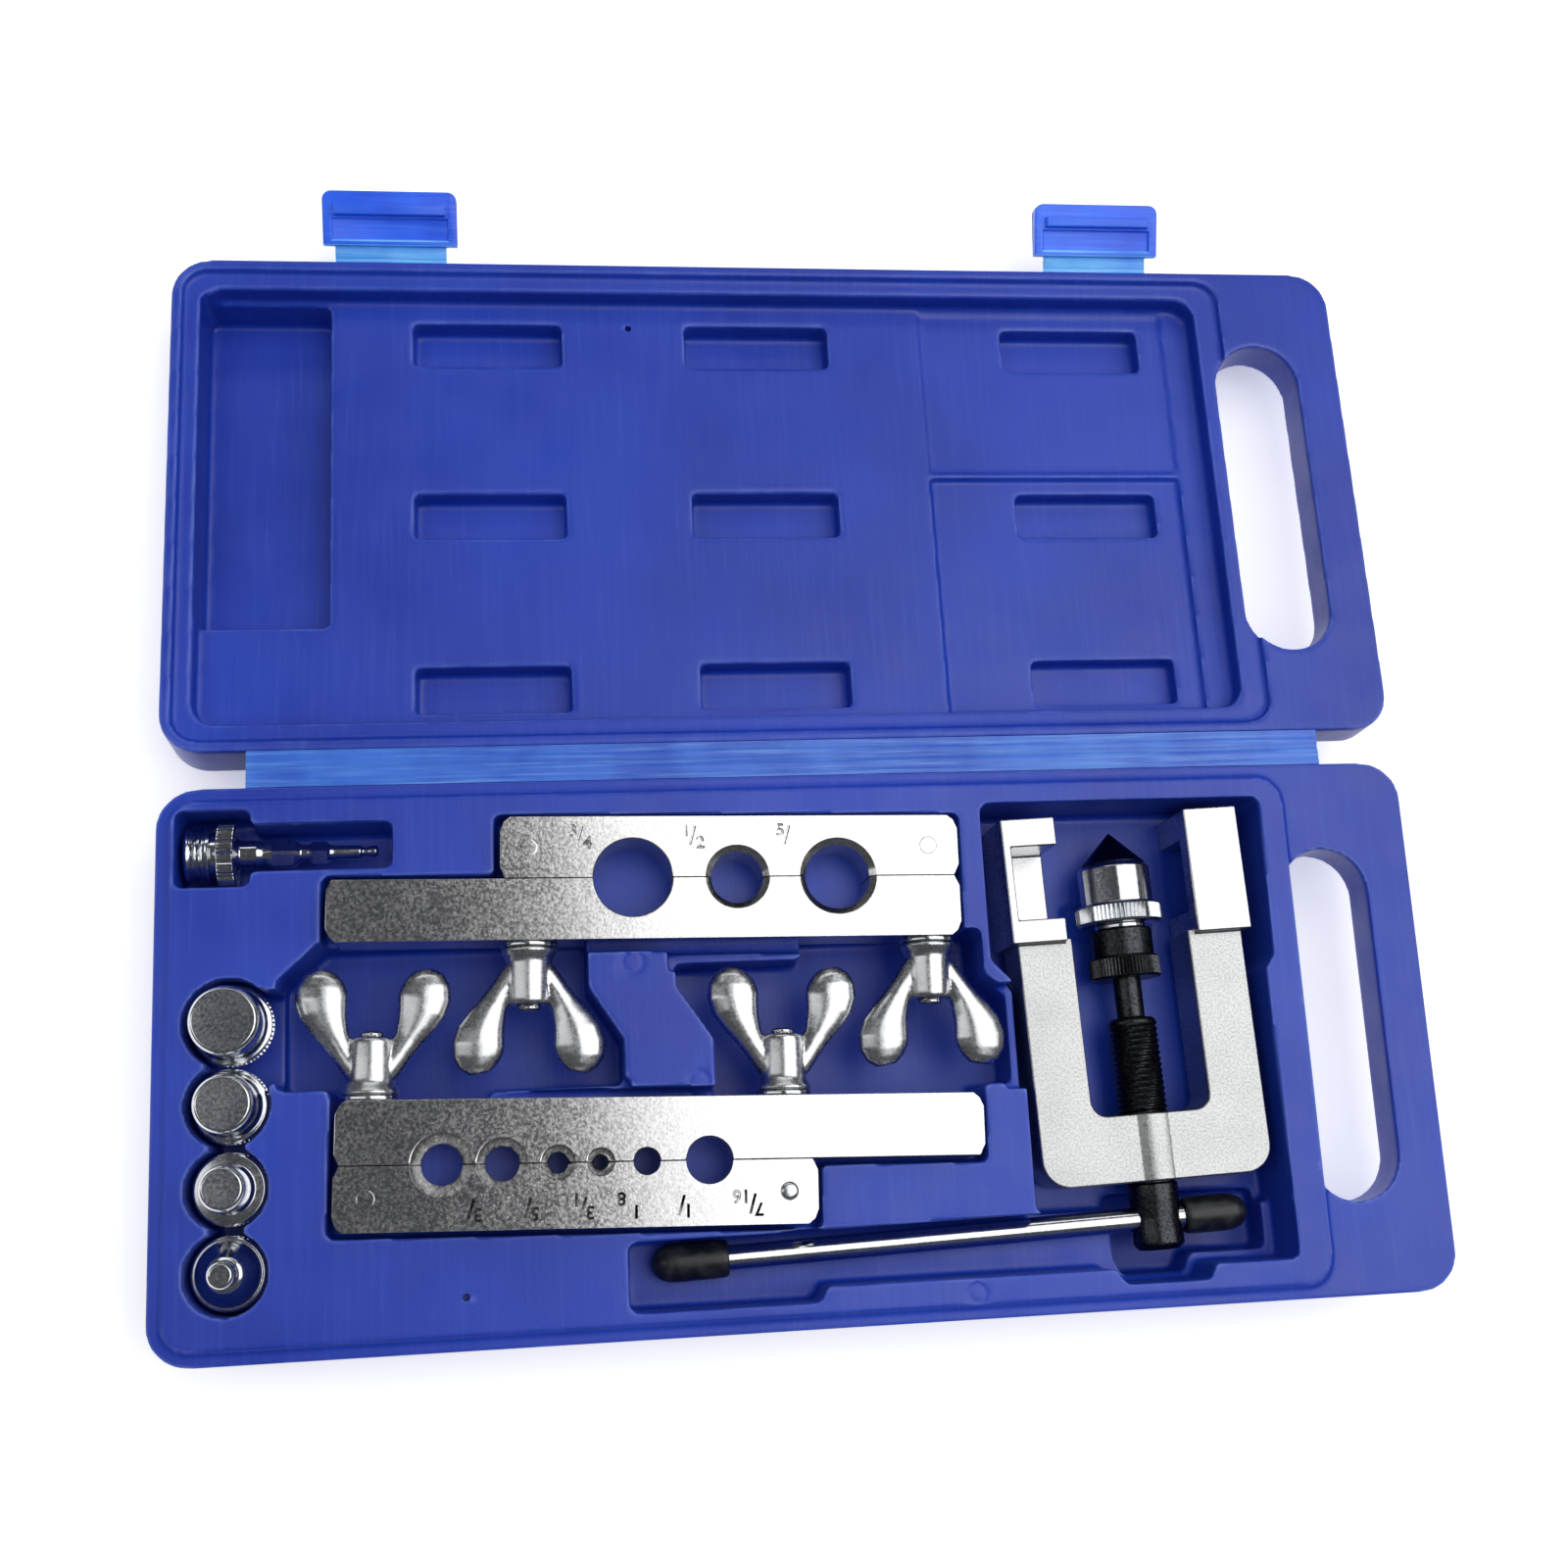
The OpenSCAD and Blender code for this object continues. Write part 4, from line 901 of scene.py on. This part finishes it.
def bar_half(name, solid, letter):
    half = softened_copy(name, solid, 0.4, 2, [bar_nickel], 28)
    if letter:
        cut(half, fraction_cutter(letter), crossing=True)
    for face in half.data.polygons:
        face.use_smooth = abs(face.normal.z) < 0.9995
    return stand_for(evenly_shaded(half), solid)


for letter in "ab":
    bar_half(f"clamp_bar_{letter}_short", f"bar_{letter}_short", letter)
    bar_half(f"clamp_bar_{letter}_long", f"bar_{letter}_long", None)

# %% [markdown]
# ## Studs, pins and washers
# Each stud is pinned into the short half, runs through the long half and carries a coarse thread
# for its nut. A pin's head is broken by a small radius so that it shows as a ring in the bar's
# top face; one of the four stands slightly domed.

# %% Studs, pins and washers
STUD_R, SHANK_R, STUD_PITCH, STUD_THREAD_FROM = 3.0, 4.0, 1.0, 8
WASHER_FACE, WASHER_R, WASHER_T, WASHER_BORE_R = 15.1, 6.9, 1.2, 3.2
NUT_SEAT = WASHER_FACE + WASHER_T
STUD_END = NUT_SEAT + 13.8 + 1.4              # the nut's height, then 1.4 mm that stands out
DOMED_PIN = ("b", 1)


def stud(letter, n, place):
    outline = [(-11.8, 0), (-11.8, SHANK_R), (-0.1, SHANK_R), (-0.1, STUD_R), (STUD_END - 0.6, STUD_R),
               (STUD_END, STUD_R - 0.7), (STUD_END, 0)]
    made = turned(outline, place, columns=48, corner=0.3, spans=[(-0.1, STUD_END - 0.6, 0.17)],
                  rule=threaded(STUD_THREAD_FROM, STUD_END - 0.2, STUD_PITCH, 0.32))
    stand_for(to_object(made, f"stud_{letter}_{n}", bar_nickel), f"bar_{letter}_stud_{n}")


def washer(letter, n, place):
    face, back = WASHER_FACE + 0.02, NUT_SEAT - 0.02
    outline = [(face, WASHER_BORE_R), (face, WASHER_R), (back, WASHER_R), (back, WASHER_BORE_R)]
    made = turned(outline, place, columns=72, corner=0.35, closed=True)
    stand_for(to_object(made, f"washer_{letter}_{n}", turned_chrome), f"bar_{letter}_washer_{n}")


def upright_place(low, high):
    """Frame at the middle of a box's floor, with its Z straight up."""
    return Matrix.Translation(((low.x + high.x) / 2, (low.y + high.y) / 2, low.z))


def pin(letter, n):
    low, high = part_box(f"bar_{letter}_pin_{n}")
    tall, r = (high.z - low.z) / MM, (high.x - low.x) / 2 / MM
    if (letter, n) == DOMED_PIN:
        crown = [(tall - 0.5, r), (tall - 0.12, r * 0.72), (tall, r * 0.3), (tall, 0)]
        finish = ground_zinc
    else:
        crown = [(tall - 0.25, r), (tall - 0.22, r - 0.3), (tall - 0.22, 0)]
        finish = bar_nickel
    made = turned([(0, 0), (0, r)] + crown, upright_place(low, high), columns=48, corner=0.3)
    stand_for(to_object(made, f"pin_{letter}_{n}", finish), f"bar_{letter}_pin_{n}")


for letter in "ab":
    for n in (1, 2):
        place = axis_place(f"nut_{letter}_{n}_turn")
        stud(letter, n, place)
        washer(letter, n, place)
        pin(letter, n)

# %% [markdown]
# ## The wing nuts
# A cast wing nut flows: hub, neck and wing are one skin. Each wing is lofted through ten rings, thin
# at the neck and wide and flat near its tip, like an ear. Hub and wings are then rebuilt as a single
# skin and smoothed, which gives the fillets that a casting has. One nut is made and set in four places.

# %% Wing nuts
# place out from the axis, place along it, half width, half thickness: all in mm
WING_RINGS = [(2.6, 4.6, 3.0, 3.4), (4.6, 7.2, 3.0, 3.2), (6.6, 10.2, 3.0, 3.0),
              (8.5, 13.6, 3.6, 3.0), (10.2, 17.0, 4.8, 3.3), (11.5, 20.2, 5.9, 3.6),
              (12.1, 23.2, 6.4, 3.7), (12.2, 25.9, 6.0, 3.4), (11.9, 28.2, 4.7, 2.8),
              (11.6, 29.9, 2.5, 1.8)]
NUT_HUB = [(0.02, 3.02), (0.02, 6.5), (0.7, 6.9), (1.4, 6.5), (3.2, 5.5), (9.0, 5.35), (13.0, 5.15),
           (13.76, 4.7), (13.76, 3.02)]
NUT_VOXEL = 0.36 * MM


def wing(bm, side):
    rings = []
    for n, (out, along, wide, thick) in enumerate(WING_RINGS):
        before = WING_RINGS[max(0, n - 1)]
        after = WING_RINGS[min(len(WING_RINGS) - 1, n + 1)]
        lean = math.atan2(after[0] - before[0], after[1] - before[1])
        made = bmesh.ops.create_circle(bm, segments=24, radius=MM)
        turn = Matrix.Rotation(lean * side, 4, "Y")
        move = Matrix.Translation(Vector((out * side, 0, along)) * MM)
        shape = Matrix.Diagonal((wide, thick, 1, 1))
        bmesh.ops.transform(bm, matrix=move @ turn @ shape, verts=made["verts"])
        rings.append(list({edge for vert in made["verts"] for edge in vert.link_edges}))
    for first, second in zip(rings, rings[1:]):
        bmesh.ops.bridge_loops(bm, edges=first + second)
    bmesh.ops.holes_fill(bm, edges=rings[0] + rings[-1], sides=0)


def wing_nut():
    bm = turned(NUT_HUB, Matrix.Identity(4), columns=72, corner=0.5, closed=True)
    for side in (1, -1):
        wing(bm, side)
    bmesh.ops.recalc_face_normals(bm, faces=bm.faces)
    nut = to_object(bm, "nut_pattern", nut_chrome)
    remesh = nut.modifiers.new("One skin", "REMESH")
    remesh.mode = "VOXEL"
    remesh.voxel_size = NUT_VOXEL
    smooth = nut.modifiers.new("Fillet", "SMOOTH")
    smooth.factor = 0.5
    smooth.iterations = 6
    return apply_modifiers(nut)


pattern = wing_nut()
for letter in "ab":
    for n in (1, 2):
        place = axis_place(f"nut_{letter}_{n}_turn") @ Matrix.Translation((0, 0, NUT_SEAT * MM))
        mesh = pattern.data.copy()
        mesh.transform(place)
        nut = bpy.data.objects.new(f"wing_nut_{letter}_{n}", mesh)
        bpy.context.scene.collection.objects.link(nut)
        stand_for(nut, f"bar_{letter}_nut_{n}")
bpy.data.objects.remove(pattern)

# %% [markdown]
# ## The adapters
# Four punches stand in their pocket, thread down; they screw into the yoke's holder to swage tubes
# of several sizes. Each has a fine straight knurl for the fingers and a flat polished top. A fifth,
# with many steps and a hexagon, lies by itself behind the left end of bar A.

# %% Adapters
PUNCH_ACROSS = {1: 16.2, 2: 13.8, 3: 10.6, 4: 6.3}      # mm, at the top of each
FOOT = [(0, 0), (0, 6.2), (0.8, 7.0), (9.0, 7.0), (9.0, 5.8), (10.2, 5.8)]
FOOT_THREAD = threaded(0.6, 9.0, 1.5, 0.6)
STEPPED = [(0, 0), (0, 6.2), (0.8, 7.0), (6.0, 7.0), (6.0, 5.5), (7.6, 5.5), (7.6, 7.6), (7.9, 7.9),
           (11.7, 7.9), (12.0, 7.5), (12.0, 4.4), (12.8, 3.4), (17.0, 3.4), (18.2, 2.7), (20.6, 3.7),
           (25.4, 3.7), (27.2, 2.0), (29.0, 2.0), (30.0, 2.9), (33.4, 2.9), (34.2, 1.9), (35.0, 1.7),
           (41.4, 1.6), (42.0, 1.1), (43.4, 1.1), (43.8, 1.4), (45.2, 1.4), (45.8, 0.9), (45.8, 0)]


def screw_on_punch(n, across):
    low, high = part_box(f"adapter_{n}")
    tall, ring, punch = (high.z - low.z) / MM, (high.x - low.x) / 2 / MM, across / 2
    middle = [(10.2, ring - 0.3), (10.5, ring), (13.4, ring), (13.8, ring - 0.5)]
    if n < 4:
        top = [(13.9, punch + 0.5), (14.5, punch), (tall - 0.9, punch), (tall, punch - 0.8),
               (tall, punch - 1.4), (tall, 0)]
    else:
        top = [(13.8, ring - 1.3), (15.0, ring - 1.5), (tall - 6.6, punch + 0.9), (tall - 6.2, punch),
               (tall - 0.7, punch), (tall, punch - 0.7), (tall, punch - 1.2), (tall, 0)]
    knurl = wider_than(ring - 0.6, knurled(10.4, 13.5, 56, 0.5))
    made = turned(FOOT + middle + top, upright_place(low, high), columns=240, corner=0.3,
                  spans=[(0.8, 9.0, 0.2), (10.5, 13.4, 0.9)], rule=one_by_one(FOOT_THREAD, knurl))
    stand_for(to_object(made, f"punch_{n}", turned_chrome), f"adapter_{n}")


def hexagonal(low, high, share):
    """Flats along part of a rod, as a hexagon that its round stock just holds."""
    def rule(z, turn, radius):
        if not low < z < high:
            return radius
        across = math.cos(math.pi / 6) / math.cos((turn % (math.pi / 3)) - math.pi / 6)
        return radius * (1 - share + share * across)
    return rule


for n, across in PUNCH_ACROSS.items():
    screw_on_punch(n, across)

low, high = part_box("stepped_adapter")
left_end = Vector((low.x, (low.y + high.y) / 2, (low.z + high.z) / 2))
step_place = Matrix.Translation(left_end) @ Matrix.Rotation(math.pi / 2, 4, "Y")
step_rule = one_by_one(threaded(0.5, 6.0, 1.5, 0.7), wider_than(7, knurled(7.8, 11.8, 48, 0.55)),
                       hexagonal(29.8, 33.6, 1.0), hexagonal(20.2, 25.8, 0.9))
stepped = turned(STEPPED, step_place, columns=180, corner=0.25, rule=step_rule,
                 spans=[(0.8, 6.0, 0.18), (7.9, 11.7, 0.9), (13.0, 20.6, 0.6)])
stand_for(to_object(stepped, "punch_stepped", turned_chrome), "stepped_adapter")

# %% [markdown]
# ## The solids that stay
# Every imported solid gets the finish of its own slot, so that one which no piece stands for would
# still look right.

# %% Finishes for the solids that stay
FINISH = {"case": case_plastic, "flex": strap_plastic, "bar_steel": bar_nickel, "cast_steel": cast_zinc,
          "chrome": turned_chrome, "black_steel": black_oxide, "cone_steel": cone_steel,
          "black_cap": black_vinyl}
for solid, thing in frame["nodes"].items():
    thing.data.materials.clear()
    thing.data.materials.append(FINISH[SLOT_OF[solid]])
print("finished", len(frame["nodes"]), "packed solids in", len(FINISH), "slots")

# %% [markdown]
# ## Floor and light
# The set lies on a white light table, whose own glow thins the shadows. Metal shows what it
# reflects: here a wide soft light to the right of the camera and a dimmer room on the left, which
# is why the bars run from dark to bright.

# %% Floor and lights
low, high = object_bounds()
bm = bmesh.new()
bmesh.ops.create_grid(bm, x_segments=1, y_segments=1, size=3.0)
bmesh.ops.translate(bm, verts=bm.verts, vec=(0, 0, low.z - 0.2 * MM))
floor = to_object(bm, "Floor")
floor_paint, floor_tree, floor_shader = new_material("Matt white floor", Roughness=0.9)
floor_shader.inputs["Base Color"].default_value = linear("#f6f6f6")
floor_shader.inputs["Emission Color"].default_value = (1.0, 1.0, 1.0, 1.0)
floor_shader.inputs["Emission Strength"].default_value = 0.40
floor.data.materials.append(floor_paint)


def soft_light(name, place, target, size, watts, in_reflections=True):
    lamp = bpy.data.lights.new(name, "AREA")
    lamp.shape = "RECTANGLE"
    lamp.size, lamp.size_y = size
    lamp.energy = watts
    thing = bpy.data.objects.new(name, lamp)
    thing.location = place
    aim = Vector(target) - Vector(place)
    thing.rotation_euler = aim.to_track_quat("-Z", "Y").to_euler()
    thing.visible_glossy = in_reflections
    bpy.context.scene.collection.objects.link(thing)
    print(name, "gives", watts, "W")


soft_light("Soft box right", (0.70, 0.15, 1.15), (0.0, 0.05, 0.0), (1.3, 1.6), 12)
soft_light("Strip left", (-0.95, 0.1, 0.85), (0, 0, 0), (0.3, 1.5), 1.6)
soft_light("Strip behind", (0.0, 1.0, 0.75), (0, 0, 0), (1.4, 0.22), 1.6)
soft_light("Fill above", (-0.2, 0.0, 1.6), (0, 0, 0), (2.4, 2.4), 18, in_reflections=False)
world = bpy.data.worlds.new("Studio")
bpy.context.scene.world = world
world.use_nodes = True
world.node_tree.nodes["Background"].inputs["Color"].default_value = linear("#c6cad2")
world.node_tree.nodes["Background"].inputs["Strength"].default_value = 0.13
bpy.context.scene.view_settings.view_transform = "Standard"
